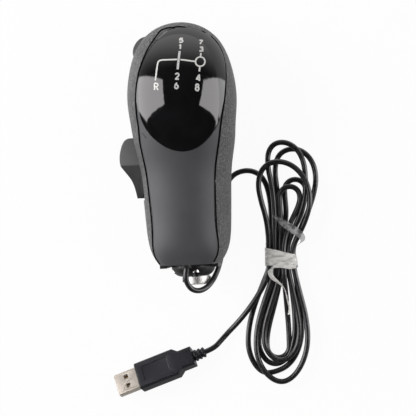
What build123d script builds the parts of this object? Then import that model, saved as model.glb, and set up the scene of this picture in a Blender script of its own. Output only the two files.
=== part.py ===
"""A truck style gear knob with a USB lead, lying on its back.

The knob lies along Y with its head towards +Y and its face towards +Z.
The origin is the middle of the flat that it rests on.
"""
from build123d import *
import os
from math import cos, hypot, pi, radians, sin, sqrt, tan

os.makedirs("parts", exist_ok=True)

# Knob body: places along the length, half width, back height, face height and fullness of the corners.
foot_y = -62.0
crown_y = 68.7
body_rings = (
    (foot_y, 16.2, 6.0, 44.6, 0.78),
    (foot_y + 3.0, 18.3, 3.0, 46.4, 0.76),
    (foot_y + 7.0, 20.4, 0.4, 48.2, 0.70),
    (foot_y + 15.0, 22.4, -1.2, 49.6, 0.62),
    (foot_y + 28.0, 23.4, -1.2, 50.2, 0.58),
    (-19.0, 24.1, -1.2, 51.0, 0.58),
    (-4.0, 25.9, -1.2, 53.0, 0.58),
    (10.0, 28.0, -1.2, 56.0, 0.58),
    (25.0, 29.5, -1.2, 58.0, 0.58),
    (39.0, 28.6, 0.4, 56.6, 0.58),
    (50.0, 25.8, 4.6, 52.8, 0.58),
    (58.5, 21.4, 10.6, 47.4, 0.58),
    (64.5, 15.0, 17.4, 41.4, 0.58),
    (67.6, 8.4, 23.6, 35.6, 0.58),
    (crown_y, 3.4, 27.4, 31.8, 0.58),
)
wall = 2.4
seam_gap = 0.5
seam_foot = ((foot_y - 10.0, 39.2), (foot_y, 39.3), (foot_y + 6.0, 39.8), (foot_y + 16.0, 41.6))
seam_left = (*seam_foot, (-20, 42.2), (-8, 42.9), (3, 44.8), (14, 47.4), (26, 48.9), (40, 49.0), (50, 48.0),
             (58, 45.4), (62, 43.0), (65, 40.4), (75, 40.0))
seam_right = (*seam_foot, (-28, 42.7), (-7, 43.9), (6, 45.2), (17, 45.5), (26, 44.6), (33, 43.0), (40, 40.6),
              (48, 38.0), (56, 37.0), (62, 38.4), (65, 40.4), (75, 40.0))
reach = 100.0

# Gloss cap on the head.
cap_edge = ((-25.0, 44.0), (-22.4, 32.0), (-20.8, 22.5), (-17.2, 11.8), (-11.6, 4.9), (-5.2, 0.4), (2.0, -1.7),
            (9.4, -0.4), (15.9, 4.4), (20.9, 11.6), (23.9, 20.5), (26.2, 31.0), (30.0, 44.0))
cap_rim = 0.6
cap_seat = 1.2
cap_proud = 0.5
cap_gap = 0.1

# Rockers: a range paddle on the left side and a splitter near the crown.
pin_radius = 1.5
running_gap = 0.05
end_gap = 0.5
slot_gap = 0.6
lug_thickness = 2.5
lug_width = 9.0
lug_reach = 20.0
range_pivot = (-14.0, -9.0)
range_low = 16.8
range_tall = 18.0
range_throw = 10.0
range_arm = 9.0
splitter_pivot = (-14.2, 51.8)
splitter_side = (0.577, 0.817)
splitter_low = 18.0
splitter_tall = 14.0
splitter_throw = 8.0
splitter_arm = 8.5
finger_radius = 1.0
arm_thickness = 2.6

# Board and switches.
board_top = 24.5
board_thickness = 1.6
board_left = -9.0
board_right = 14.0
board_low_y = -22.0
board_high_y = 51.5
switch_length = 12.0
switch_depth = 5.6
switch_height = 5.0
slider_height = 2.6
slider_lift = 1.6
fork_wall = 1.5
arm_half = 1.6
slider_gap = 0.15
tongue_reach = 2.6
range_hub = 4.5
splitter_hub = 3.6
chip_place = (6.0, 6.0)
chip_side = 9.0
chip_height = 1.4
crystal_place = (5.5, 28.0)
crystal_length = 11.0
crystal_width = 4.6
crystal_height = 3.6
socket_place = (8.6, -8.0)
socket_width = 8.0
socket_length = 6.0
socket_height = 6.0
board_screw_length = 8.0
grub_inset = 1.75
cord_tail_length = 9.0
lead_radius = 0.34
lead_pitch = 1.25
screw_small = 1.1
standoff_radius = 3.0
standoffs = ((10.5, -18.5), (10.5, 46.0), (-4.5, 20.0))

# Shell screws.
shell_screw_radius = 1.25
shell_screw_length = 24.0
shell_head_radius = 2.4
shell_head_thickness = 1.8
shell_head_gap = 0.2
boss_radius = 4.0
boss_split = 20.0
shell_bosses = ((14.5, -43.0), (-14.5, -43.0), (20.0, 12.0), (-17.0, 24.0))
head_seat = 10.5

# Shaft sleeve, its block and the end collar.
shaft_radius = 5.0
sleeve_wall = 2.0
sleeve_x = 2.2
sleeve_z = 19.0
sleeve_proud = 11.4
shaft_depth = 38.0
sleeve_base = 3.0
grub_radius = 1.5
grub_length = 2.6
collar_radius = 12.0
collar_x = 0.8
collar_z = 20.0
collar_thickness = 7.0
collar_round = 5.9
collar_plate = 0.8
collar_ear = 1.9
collar_ear_x = 12.4
collar_plate_top = 31.8
collar_screws_at = ((3.3, 29.3), (-8.4, 23.0))
collar_screw_radius = 1.1
collar_screw_length = 9.0
collar_head_radius = 2.1
collar_head_depth = 3.8
collar_head_thickness = 1.3
block_width = 16.4
block_length = 12.0
block_from_end = 5.5

# Cord, hank and tie.
cord_radius = 1.5
cord_gap = 0.55
cord_exit_x = -0.8
cord_exit_z = 35.2
gland_radius = 2.7
gland_nose = 2.0
floor_lift = 0.05
tie_x = 46.9
tie_y = -61.0
tie_thickness = 0.4
tie_width = 2.4
tie_step = 2.8
tie_slack = 0.9
tie_lift = tie_thickness + 2 * floor_lift
tail_width = 2.4
edge_tail = ((40.2, -66.9), (42.4, -72.1), (46.7, -75.1), (49.4, -79.0), (50.9, -87.0), (50.3, -93.3))
flat_tail = ((57.4, -56.6), (61.6, -50.6), (56.0, -44.4), (44.6, -36.4))
cord_pitch = 2 * cord_radius + cord_gap
hank_top = cord_radius + floor_lift + cord_pitch
hank_floor = cord_radius + floor_lift
hank_start = (40.5, -27.0)
hank_end = (26.5, -85.5)
exit_route = (
    (cord_exit_x, foot_y - gland_nose, cord_exit_z),
    (cord_exit_x, foot_y - 8.2, cord_exit_z),
    (-0.1, -76.6, 34.5),
    (2.8, -81.5, 31.6),
    (7.5, -83.7, 27.0),
    (12.5, -81.7, 21.9),
    (16.1, -75.5, 18.4),
    (18.1, -68.0, 13.6),
    (18.9, -59.2, 8.4),
    (18.9, -49.6, 3.6),
    (18.3, -39.5, hank_floor),
    (17.9, -28.5, hank_floor),
    (18.8, -19.1, hank_floor),
    (23.3, -13.8, hank_floor),
    (29.9, -12.0, hank_floor),
    (36.4, -14.3, hank_floor),
    (hank_start[0], -20.1, hank_floor),
    (*hank_start, hank_floor),
)
lead_run = 5.4
lead_corners = ((24.9, -96.4, 4.4), (20.6, -101.0, 3.3), (15.0, -104.6, 3.8))
turns = 5
lanes = 3
inner_lane = 1.75
foot_loops = ((44.5, 15.3, 3.9, -129.8, 6.2, -107.0, 0.3), (43.2, 14.8, 4.6, -124.5, 6.5, -105.0, 0.5))
head_loops = ((57.6, 11.2, 4.3, -2.4, 9.0, -19.0, 1.0), (51.1, 15.5, 4.6, 1.8, 7.4, -20.5, 1.0))
head_lean = (0.9, 0.0)
tie_pitch = 3.7
left = Vector(-1, 0, 0)
right = Vector(1, 0, 0)
up = Vector(0, 1, 0)
down = Vector(0, -1, 0)
up_z = Vector(0, 0, 1)

# Plug on the end of the cord.
plug_roll = 25.0
plug_turn = 19.4
mold_length = 33.4
mold_front = 23.0
mold_step = 3.0
mold_width = 15.8
mold_height = 8.0
mold_tail_width = 11.0
mold_tail_height = 7.4
mold_round = 1.6
relief_length = 7.0
shell_width = 12.0
shell_height = 4.5
shell_wall = 0.35
shell_out = 12.9
shell_in = 6.0
tongue_thickness = 1.9
contact_width = 1.0
contact_length = 7.5
contact_pitch = 2.3
plug_rear = (-3.4, -114.1)
label_length = 15.0
label_width = 8.6
label_depth = 0.3
window_side = 2.4
window_inset = 6.2
window_spread = 2.7
relief_front = 2.9
relief_back = 2.2
rib_radii = (3.3, 3.1, 2.9)
rib_width = 1.2


def finish(piece, name):
    """Label a piece and write it."""
    piece.part.label = name
    export_step(piece.part, f"parts/{name}.step")


def body_form(grow, low_y, high_y):
    """The knob's outer form, grown by an amount, between two places along Y."""
    count = len(body_rings)
    with BuildPart() as form:
        for number, (y, half, back, face, pull) in enumerate(body_rings):
            place = low_y if number == 0 else high_y if number == count - 1 else y
            if not low_y <= place <= high_y:
                continue
            middle = (back + face) / 2
            wide = half + grow
            tall = (face - back) / 2 + grow
            with BuildSketch(Plane.XZ.offset(-place)):
                with BuildLine():
                    corners = ((wide, 0), (0, tall), (-wide, 0), (0, -tall))
                    for near, far in zip(corners, corners[1:] + corners[:1]):
                        start = Vector(near[0], near[1] + middle)
                        end = Vector(far[0], far[1] + middle)
                        first = Vector(near[0] + pull * far[0], near[1] + pull * far[1] + middle)
                        second = Vector(far[0] + pull * near[0], far[1] + pull * near[1] + middle)
                        Bezier(start, first, second, end)
                make_face()
        loft()
    return form.part


def seam_block(lift):
    """Everything above the lines where the front meets the back on the two sides, raised by a gap."""
    with BuildPart() as block:
        for seam, side in ((seam_left, -1), (seam_right, 1)):
            with BuildSketch(Plane.YZ):
                with BuildLine():
                    line = [(y, z + lift) for y, z in seam]
                    Spline(*line)
                    Polyline(line[-1], (line[-1][0], reach), (line[0][0], reach), line[0])
                make_face()
            extrude(amount=side * reach / 2)
    return block.part


def columns(places, radius, low, high, form):
    """Upright round columns between two heights, trimmed to a form."""
    with BuildPart() as made:
        with BuildSketch(Plane.XY.offset(low)):
            with Locations(*places):
                Circle(radius)
        extrude(amount=high - low)
        add(form, mode=Mode.INTERSECT)
    return made.part


def rocker_plane(pivot, side, height):
    """A level plane at a rocker's pin, X along the body's side and Y outwards."""
    return Plane(origin=(pivot[0], pivot[1], height), x_dir=(side[0], side[1], 0), z_dir=(0, 0, 1))


def side_block(plane, along, outwards, height):
    """A level block on a rocker's plane, given its spans along the side and outwards."""
    with BuildPart() as block:
        with BuildSketch(plane):
            with Locations(((along[0] + along[1]) / 2, (outwards[0] + outwards[1]) / 2)):
                Rectangle(along[1] - along[0], outwards[1] - outwards[0])
        extrude(amount=height)
    return block.part


def rod(plane, radius, length):
    """A round rod that starts on a plane."""
    with BuildPart() as made:
        with BuildSketch(plane):
            Circle(radius)
        extrude(amount=length)
    return made.part


def along_y(x, y, z):
    """A plane across the length that faces the crown."""
    return Plane(origin=(x, y, z), x_dir=(1, 0, 0), z_dir=(0, 1, 0))


def upright(x, y, z):
    """A level plane that faces up."""
    return Plane(origin=(x, y, z), x_dir=(1, 0, 0), z_dir=(0, 0, 1))


outer_form = body_form(0, foot_y, crown_y)
inner_form = body_form(-wall, foot_y + wall, crown_y - wall)
core_form = body_form(-wall - seam_gap, foot_y + wall + seam_gap, crown_y - wall - seam_gap)
above_back = seam_block(0)
above_front = seam_block(seam_gap)

range_side = (0.0, 1.0)
board_bottom = board_top - board_thickness
sleeve_radius = shaft_radius + sleeve_wall
sleeve_mouth_y = foot_y - sleeve_proud
grub_y = foot_y - collar_thickness - grub_inset
block_y = sleeve_mouth_y + shaft_depth - block_from_end
sleeve_end_y = sleeve_mouth_y + shaft_depth + sleeve_base
fork_low = board_top + slider_lift
arm_low = fork_low + slider_height + running_gap * 4

rockers = {
    "range": (range_pivot, range_side, range_low, range_tall, range_throw, range_arm),
    "splitter": (splitter_pivot, splitter_side, splitter_low, splitter_tall, splitter_throw, splitter_arm),
}
range_blade = ((16.4, 14.1), (15.4, 17.3), (10.9, 19.8), (4.0, 20.7), (1.3, 20.3))
range_hollow = ((-3.8, 16.7), (-8.9, 14.2), (-14.0, 13.2), (-16.2, 12.9))
range_heel = ((-16.2, 9.6), (-13.0, 7.4), (14.0, 7.4), (16.4, 10.0))
splitter_blade = ((6.4, 8.6), (3.6, 10.9), (0.0, 11.6), (-3.6, 10.9), (-6.4, 8.6))
splitter_heel = ((-6.4, 6.0), (6.4, 6.0))
range_facet = ((-7.2, 0.0), (-26.0, 0.0), (-26.0, -6.0))
range_facet_x = -23.4
range_web = (7.0, 8.0)
splitter_web = (5.0, 6.4)

def pivot_lug(pivot, side, height):
    """A level lug that holds one end of a rocker's pin, trimmed to the back shell."""
    with BuildPart() as lug:
        half = lug_width / 2
        add(side_block(rocker_plane(pivot, side, height), (-half, half), (-half, lug_reach), lug_thickness))
        add(outer_form, mode=Mode.INTERSECT)
        add(above_back, mode=Mode.SUBTRACT)
    return lug.part


# Back shell with its bosses, standoffs, lugs and holes.
slot_spans = {"range": ((-17.4, 19.4), (4.0, 30.0)), "splitter": ((-8.4, 8.4), (2.5, 20.0))}
with BuildPart() as back_shell:
    add(outer_form)
    add(above_back, mode=Mode.SUBTRACT)
    add(inner_form, mode=Mode.SUBTRACT)
    add(columns(shell_bosses, boss_radius, -1, boss_split, outer_form))
    add(columns(standoffs, standoff_radius, -1, board_bottom, outer_form))
    for pivot, side, low, tall, throw, arm in rockers.values():
        add(pivot_lug(pivot, side, low - end_gap - lug_thickness))
        add(pivot_lug(pivot, side, low + tall + end_gap))
    for x, z in collar_screws_at:
        add(rod(along_y(x, foot_y, z), standoff_radius, wall + 6))
    for name, (pivot, side, low, tall, throw, arm) in rockers.items():
        plane = rocker_plane(pivot, side, low - slot_gap / 2)
        add(side_block(plane, *slot_spans[name], tall + slot_gap), mode=Mode.SUBTRACT)
        bottom = rocker_plane(pivot, side, low - end_gap - lug_thickness)
        add(rod(bottom, pin_radius, tall + 2 * (end_gap + lug_thickness)), mode=Mode.SUBTRACT)
    for x, y in shell_bosses:
        add(rod(upright(x, y, -2), shell_head_radius + shell_head_gap, head_seat + 2), mode=Mode.SUBTRACT)
        add(rod(upright(x, y, 0), shell_screw_radius, boss_split + 1), mode=Mode.SUBTRACT)
    with BuildSketch(Plane.XY.offset(board_bottom)):
        with Locations(*standoffs):
            Circle(screw_small)
    extrude(amount=-8, mode=Mode.SUBTRACT)
    for x, z in collar_screws_at:
        add(rod(along_y(x, foot_y - 1, z), collar_screw_radius, wall + 6), mode=Mode.SUBTRACT)
    sleeve_way = along_y(sleeve_x, foot_y - 1, sleeve_z)
    add(rod(sleeve_way, sleeve_radius + running_gap, wall + 2), mode=Mode.SUBTRACT)
    add(rod(along_y(cord_exit_x, foot_y - 1, cord_exit_z), gland_radius, wall + 2), mode=Mode.SUBTRACT)
    with BuildSketch(Plane.XY):
        Rectangle(2 * reach, 2 * reach)
    extrude(amount=-reach, mode=Mode.SUBTRACT)
finish(back_shell, "back_shell")

# Gloss cap: an egg on the head, glued into a seat in the front panel.
def cap_block(grow):
    """The cap's place: an egg seen from above, down to a rim of the panel that follows the seam."""
    edge = []
    for before, place, after in zip(cap_edge[:1] + cap_edge, cap_edge, cap_edge[1:] + cap_edge[-1:]):
        way = (Vector(*after) - Vector(*before)).normalized()
        edge.append((place[0] + way.Y * grow, place[1] - way.X * grow))
    with BuildPart() as block:
        with BuildSketch():
            with BuildLine():
                Spline(*edge)
                Polyline(edge[-1], (reach, crown_y), (reach, reach), (-reach, reach), (-reach, crown_y), edge[0])
            make_face()
        extrude(amount=reach)
        add(seam_block(seam_gap + cap_rim - grow), mode=Mode.INTERSECT)
    return block.part


seat_form = body_form(-cap_seat, foot_y + cap_seat, crown_y - cap_seat)
proud_form = body_form(cap_proud, foot_y, crown_y - cap_gap)
cap_opening = cap_block(cap_gap)

with BuildPart() as front_panel:
    add(outer_form)
    add(above_front, mode=Mode.INTERSECT)
    add(inner_form, mode=Mode.SUBTRACT)
    add(columns(shell_bosses, boss_radius, boss_split, reach, core_form))
    add(columns(shell_bosses, boss_radius, boss_split, reach, inner_form & above_front))
    for x, y in shell_bosses:
        add(rod(upright(x, y, 0), shell_screw_radius, head_seat + shell_screw_length + 1), mode=Mode.SUBTRACT)
    add(cap_opening - seat_form, mode=Mode.SUBTRACT)
finish(front_panel, "front_panel")

with BuildPart() as gloss_cap:
    add(proud_form)
    add(cap_block(0), mode=Mode.INTERSECT)
    add(seat_form, mode=Mode.SUBTRACT)
finish(gloss_cap, "gloss_cap")

# Rockers: a blade outside, a hub on the pin and an arm whose finger moves a switch.
def facet_wedge():
    """What the paddle's lower facet loses: it falls away from a crease across the blade's top."""
    with BuildPart() as wedge:
        top = range_low + range_tall
        with BuildSketch(Plane(origin=(range_facet_x, 0, top), x_dir=(0, 1, 0), z_dir=(-1, 0, 0))):
            with BuildLine():
                Polyline(*((y, -z) for y, z in range_facet), close=True)
            make_face()
        extrude(amount=reach / 2)
    return wedge.part


def rocker(outline_maker, name, hub_radius, web, loss=None):
    """One rocker from the function that draws its blade and what its blade loses."""
    pivot, side, low, tall, throw, arm = rockers[name]
    with BuildPart() as made:
        with BuildSketch(rocker_plane(pivot, side, low)):
            with BuildLine():
                outline_maker()
            make_face()
            with BuildLine():
                foot = hub_radius * 0.8
                Polyline((-web[0], web[1]), (web[0], web[1]), (foot, 0), (-foot, 0), close=True)
            make_face()
            Circle(hub_radius)
        extrude(amount=tall)
        arm_plane = rocker_plane(pivot, side, arm_low)
        add(side_block(arm_plane, (-arm_half, arm_half), (-arm - arm_half, 0), arm_thickness))
        finger_plane = rocker_plane(pivot, side, fork_low + slider_gap)
        finger = finger_plane.shift_origin(finger_plane.from_local_coords((0, -arm, 0)))
        add(rod(finger, finger_radius, slider_height + slider_gap))
        add(rod(rocker_plane(pivot, side, low), pin_radius + running_gap, tall), mode=Mode.SUBTRACT)
        if loss:
            add(loss, mode=Mode.SUBTRACT)
    return made


def range_outline():
    """The paddle's blade: a fat thumb rest above a crease and a hollow below it."""
    Spline(*range_blade)
    Line(range_blade[-1], range_hollow[0])
    Spline(*range_hollow)
    Polyline(range_hollow[-1], *range_heel, range_blade[0])


def splitter_outline():
    """The splitter's blade: a low arch."""
    Spline(*splitter_blade)
    Polyline(splitter_blade[-1], *splitter_heel, splitter_blade[0])


def switch_parts(name):
    """The slider and the case of the switch that a rocker moves."""
    pivot, side, low, tall, throw, arm = rockers[name]
    fork_plane = rocker_plane(pivot, side, fork_low)
    fork_half = finger_radius + 2 * running_gap + fork_wall
    fork_back = -arm - finger_radius - fork_wall
    travel = arm * radians(throw)
    with BuildPart() as slider:
        tongue_span = (fork_back - tongue_reach, fork_back)
        add(side_block(fork_plane, (-fork_half, fork_half), (fork_back, -arm + fork_wall), slider_height))
        add(side_block(fork_plane, (-fork_wall, fork_wall), tongue_span, slider_height))
        slot_half = finger_radius + 2 * running_gap
        slot_back = -arm - finger_radius - 2 * slider_gap
        add(side_block(fork_plane, (-slot_half, slot_half), (slot_back, -arm + fork_wall), slider_height),
            mode=Mode.SUBTRACT)
    with BuildPart() as case:
        case_front = fork_back - slider_gap
        case_back = case_front - switch_depth
        base = rocker_plane(pivot, side, board_top)
        add(side_block(base, (-switch_length / 2, switch_length / 2), (case_back, case_front), switch_height))
        window = (-fork_wall - travel - slider_gap, fork_wall + slider_gap)
        window_plane = rocker_plane(pivot, side, fork_low - slider_gap)
        add(side_block(window_plane, window, (fork_back - tongue_reach - slider_gap, case_front),
                       slider_height + 2 * slider_gap), mode=Mode.SUBTRACT)
    return slider, case


range_paddle = rocker(range_outline, "range", range_hub, range_web, facet_wedge())
finish(range_paddle, "range_paddle")
splitter_rocker = rocker(splitter_outline, "splitter", splitter_hub, splitter_web)
finish(splitter_rocker, "splitter_rocker")

for name, (pivot, side, low, tall, throw, arm) in rockers.items():
    with BuildPart() as pin:
        pin_end = rocker_plane(pivot, side, low - end_gap - lug_thickness)
        add(rod(pin_end, pin_radius, tall + 2 * (end_gap + lug_thickness)))
    finish(pin, f"{name}_pin")
    slider, case = switch_parts(name)
    finish(slider, f"{name}_switch_slider")
    finish(case, f"{name}_switch_case")

# Circuit board and what is soldered to it.
with BuildPart() as circuit_board:
    with BuildSketch(Plane.XY.offset(board_bottom)):
        with Locations(((board_left + board_right) / 2, (board_low_y + board_high_y) / 2)):
            RectangleRounded(board_right - board_left, board_high_y - board_low_y, 2)
        with Locations(*standoffs):
            Circle(screw_small, mode=Mode.SUBTRACT)
    extrude(amount=board_thickness)
finish(circuit_board, "circuit_board")

with BuildPart() as controller_chip:
    with BuildSketch(Plane.XY.offset(board_top)):
        with Locations(chip_place):
            Rectangle(chip_side, chip_side)
    extrude(amount=chip_height)
    chamfer(controller_chip.edges().group_by(Axis.Z)[-1], chip_height / 4)
finish(controller_chip, "controller_chip")

with BuildPart() as crystal_can:
    with BuildSketch(Plane.XY.offset(board_top)):
        with Locations(crystal_place):
            SlotOverall(crystal_length, crystal_width)
    extrude(amount=crystal_height)
finish(crystal_can, "crystal_can")

with BuildPart() as lead_socket:
    with BuildSketch(Plane.XY.offset(board_top)):
        with Locations(socket_place):
            Rectangle(socket_width, socket_length)
    extrude(amount=socket_height)
finish(lead_socket, "lead_socket")

with BuildPart() as board_screws:
    with BuildSketch(Plane.XY.offset(board_top)):
        with Locations(*standoffs):
            Circle(screw_small * 1.8)
    extrude(amount=screw_small)
    with BuildSketch(Plane.XY.offset(board_top)):
        with Locations(*standoffs):
            Circle(screw_small)
    extrude(amount=-board_screw_length)
finish(board_screws, "board_screws")

with BuildPart() as shell_screws:
    for x, y in shell_bosses:
        seat = Plane.XY.offset(head_seat).shift_origin((x, y, head_seat))
        add(rod(seat, shell_screw_radius, shell_screw_length))
        add(rod(seat, shell_head_radius, -shell_head_thickness))
finish(shell_screws, "shell_screws")

# Shaft sleeve, the block that carries it, its grub screws and the end collar.
with BuildPart() as shaft_sleeve:
    add(rod(along_y(sleeve_x, sleeve_mouth_y, sleeve_z), sleeve_radius, shaft_depth + sleeve_base))
    chamfer(shaft_sleeve.edges().sort_by(Axis.Y)[0], sleeve_wall / 5)
    add(rod(along_y(sleeve_x, sleeve_mouth_y, sleeve_z), shaft_radius, shaft_depth), mode=Mode.SUBTRACT)
    for turn in (0, 180):
        mouth = Plane(origin=(sleeve_x, grub_y, sleeve_z), x_dir=(0, 1, 0), z_dir=(cos(radians(turn)), 0, 0))
        add(rod(mouth, grub_radius, sleeve_radius + 1), mode=Mode.SUBTRACT)
finish(shaft_sleeve, "shaft_sleeve")

with BuildPart() as grub_screws:
    for turn in (1, -1):
        grub_x = sleeve_x + turn * (shaft_radius + 2 * running_gap)
        inner = Plane(origin=(grub_x, grub_y, sleeve_z), x_dir=(0, 1, 0), z_dir=(turn, 0, 0))
        add(rod(inner, grub_radius, grub_length))
        outer = Plane(origin=inner.origin + inner.z_dir * grub_length, x_dir=(0, 1, 0), z_dir=(turn, 0, 0))
        with BuildSketch(outer):
            RegularPolygon(grub_radius / 2, 6)
        extrude(amount=-grub_length / 2, mode=Mode.SUBTRACT)
finish(grub_screws, "grub_screws")

with BuildPart() as sleeve_block:
    with BuildSketch():
        with Locations((sleeve_x, block_y)):
            Rectangle(block_width, block_length)
    extrude(amount=sleeve_z + sleeve_radius + sleeve_wall)
    add(inner_form, mode=Mode.INTERSECT)
    add(rod(along_y(sleeve_x, foot_y, sleeve_z), sleeve_radius, -foot_y), mode=Mode.SUBTRACT)
finish(sleeve_block, "sleeve_block")

def foot_plate(thickness, outside):
    """A plate on the foot's flat end, all of it or only what lies outside a half width."""
    with BuildPart() as plate:
        extrude(outer_form.faces().sort_by(Axis.Y)[0], amount=thickness)
        with BuildSketch(Plane.XY.offset(collar_plate_top)):
            Rectangle(reach, 2 * reach)
        extrude(amount=reach, mode=Mode.SUBTRACT)
        if outside:
            with BuildSketch():
                Rectangle(2 * outside, 2 * reach)
            extrude(amount=reach, mode=Mode.SUBTRACT)
    return plate.part


with BuildPart() as bottom_collar:
    add(rod(along_y(collar_x, foot_y, collar_z), collar_radius, -collar_thickness))
    fillet(bottom_collar.edges().sort_by(Axis.Y)[0], collar_round)
    add(foot_plate(collar_plate, 0))
    add(foot_plate(collar_ear, collar_ear_x))
    sleeve_hole = along_y(sleeve_x, foot_y, sleeve_z)
    add(rod(sleeve_hole, sleeve_radius + running_gap, -collar_thickness - 1), mode=Mode.SUBTRACT)
    for x, z in collar_screws_at:
        add(rod(along_y(x, foot_y, z), collar_screw_radius, -collar_thickness), mode=Mode.SUBTRACT)
        head = along_y(x, foot_y - collar_thickness + collar_head_depth, z)
        add(rod(head, collar_head_radius, -collar_thickness), mode=Mode.SUBTRACT)
finish(bottom_collar, "bottom_collar")

with BuildPart() as collar_screws:
    for x, z in collar_screws_at:
        head = along_y(x, foot_y - collar_thickness + collar_head_depth, z)
        add(rod(head, collar_head_radius - running_gap, -collar_head_thickness))
        add(rod(head, collar_screw_radius, collar_screw_length))
finish(collar_screws, "collar_screws")

# Cord gland in the end wall, the cord's inner end and the leads to the socket.
with BuildPart() as cord_gland:
    gland_mouth = along_y(cord_exit_x, foot_y - gland_nose, cord_exit_z)
    add(rod(gland_mouth, gland_radius, gland_nose + wall))
    add(rod(along_y(cord_exit_x, foot_y + wall, cord_exit_z), gland_radius + 1, 1.2))
    add(rod(gland_mouth, cord_radius, wall * 3), mode=Mode.SUBTRACT)
finish(cord_gland, "cord_gland")

with BuildPart() as cord_tail:
    add(rod(along_y(cord_exit_x, foot_y - gland_nose, cord_exit_z), cord_radius, cord_tail_length))
finish(cord_tail, "cord_tail")

tail_end_y = foot_y - gland_nose + cord_tail_length
socket_front = (socket_place[0], socket_place[1] - socket_length / 2, board_top + socket_height / 2)
with BuildPart() as inner_leads:
    for number in range(4):
        shift = (number - 1.5) * lead_pitch
        with BuildLine():
            FilletPolyline((cord_exit_x + shift * 0.6, tail_end_y, cord_exit_z),
                           (cord_exit_x + shift * 0.6, tail_end_y + 5, cord_exit_z),
                           (4 + shift, -34, 34), (socket_front[0] + shift * 1.6, -22, socket_front[2]),
                           (socket_front[0] + shift * 1.6, socket_front[1], socket_front[2]), radius=4)
        with BuildSketch(along_y(cord_exit_x + shift * 0.6, tail_end_y, cord_exit_z)):
            Circle(lead_radius)
        sweep()
finish(inner_leads, "inner_leads")

# The free cord: a tube from the gland to the hank and another from the hank to the plug.
def corner_radii(points):
    """The largest arcs that the runs beside each corner allow."""
    radii = []
    for before, corner, after in zip(points, points[1:], points[2:]):
        first = Vector(*corner) - Vector(*before)
        second = Vector(*after) - Vector(*corner)
        half_turn = radians(first.get_angle(second)) / 2
        radii.append(0.45 * min(first.length, second.length) / tan(half_turn))
    return radii


def cord_tube(points):
    """A round tube along straight runs and tangent arcs."""
    radii = corner_radii(points)
    with BuildPart() as tube:
        with BuildLine() as path:
            FilletPolyline(*points, radius=radii)
        with BuildSketch(Plane(origin=points[0], z_dir=Vector(*points[1]) - Vector(*points[0]))):
            Circle(cord_radius)
        sweep()
    length = sum(edge.length for edge in path.edges())
    share = tube.part.volume / (pi * cord_radius**2 * length)
    print("tube length", round(length, 1), "volume share", round(share, 4))
    print("radii", [round(value, 1) for value in radii])
    return tube


# The plug's frame: rolled about its own axis and lying on an edge.
roll = radians(plug_roll)
mold_edge = (mold_width / 2 - mold_round) * sin(roll) + (mold_height / 2 - mold_round) * cos(roll)
plug_z = mold_edge + mold_round + floor_lift
plug_way = Vector(-cos(radians(plug_turn)), -sin(radians(plug_turn)), 0)
plug_side = Vector(-sin(radians(plug_turn)), cos(radians(plug_turn)), 0)
plug_face = up_z * cos(roll) + plug_side * sin(roll)
plug_across = plug_face.cross(plug_way)
relief_end = Vector(*plug_rear, plug_z) - plug_way * relief_length
lead_route = (
    (*hank_end, hank_top),
    (hank_end[0], hank_end[1] - lead_run, hank_top),
    *lead_corners,
    tuple(relief_end - plug_way * lead_run),
    tuple(relief_end),
)

cord_exit = cord_tube(exit_route)
finish(cord_exit, "cord_exit")
cord_lead = cord_tube(lead_route)
finish(cord_lead, "cord_lead")


# The hank: loops in two layers, nested in a spiral and drawn in at the tie.
def hank_nodes():
    """Places and headings down the left of the tie, round below, up its right and round above."""
    low_z = hank_floor
    high_z = hank_top
    entry = Vector(*hank_start, low_z)
    nodes = [(entry, down), (entry + down * 2 * cord_radius, down)]
    for turn in range(turns + 1):
        lane = min(turn, turns - turn)
        upper = turn >= turns / 2
        waist_z = (high_z if upper else low_z) + tie_lift
        nodes.append((Vector(tie_x - inner_lane - tie_pitch * (lanes - 1 - lane), tie_y, waist_z), down))
        if turn == turns:
            break
        nest = min(turn, turns - 1 - turn)
        z = high_z if upper else low_z
        centre, half, half_step, low, low_step, shoulder, shoulder_step = foot_loops[upper]
        half -= half_step * nest
        low += low_step * nest
        shoulder += shoulder_step * nest
        nodes.append((Vector(centre - half, shoulder, z), down))
        nodes.append((Vector(centre, low, z), right))
        nodes.append((Vector(centre + half, shoulder, z), up))
        nodes.append((Vector(tie_x + inner_lane + tie_pitch * (lanes - 1 - nest), tie_y, waist_z), up))
        over = turn + 1 >= turns / 2
        z = high_z if over else low_z
        centre, half, half_step, high, high_step, shoulder, shoulder_step = head_loops[over]
        centre -= head_lean[over] * nest
        half -= half_step * nest
        high -= high_step * nest
        shoulder -= shoulder_step * nest
        nodes.append((Vector(centre + half, shoulder, z), up))
        nodes.append((Vector(centre, high, z), left))
        nodes.append((Vector(centre - half, shoulder, z), down))
    nodes.append((Vector(hank_end[0], hank_end[1] + 2 * cord_radius, high_z), down))
    nodes.append((Vector(*hank_end, high_z), down))
    return nodes


def biarc(start, start_way, end, end_way):
    """Where two arcs meet that leave start and reach end along their headings, and the heading there."""
    span = end - start
    ways = start_way + end_way
    square = ways.dot(ways) - 4
    reach_along = span.dot(ways)
    if abs(square) < 1e-9:
        arm = span.dot(span) / (2 * reach_along)
    else:
        arm = (2 * reach_along - sqrt(4 * reach_along**2 - 4 * square * span.dot(span))) / (2 * square)
    first = start + start_way * arm
    second = end - end_way * arm
    return (first + second) / 2, (second - first).normalized()


def add_arc(start, way, end):
    """One arc or straight run of the hank; returns its bend radius."""
    chord = end - start
    off_line = radians(way.get_angle(chord))
    if off_line < 1e-4:
        Line(start, end)
        return None
    TangentArc(start, end, tangent=way)
    return chord.length / (2 * sin(off_line))


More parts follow.
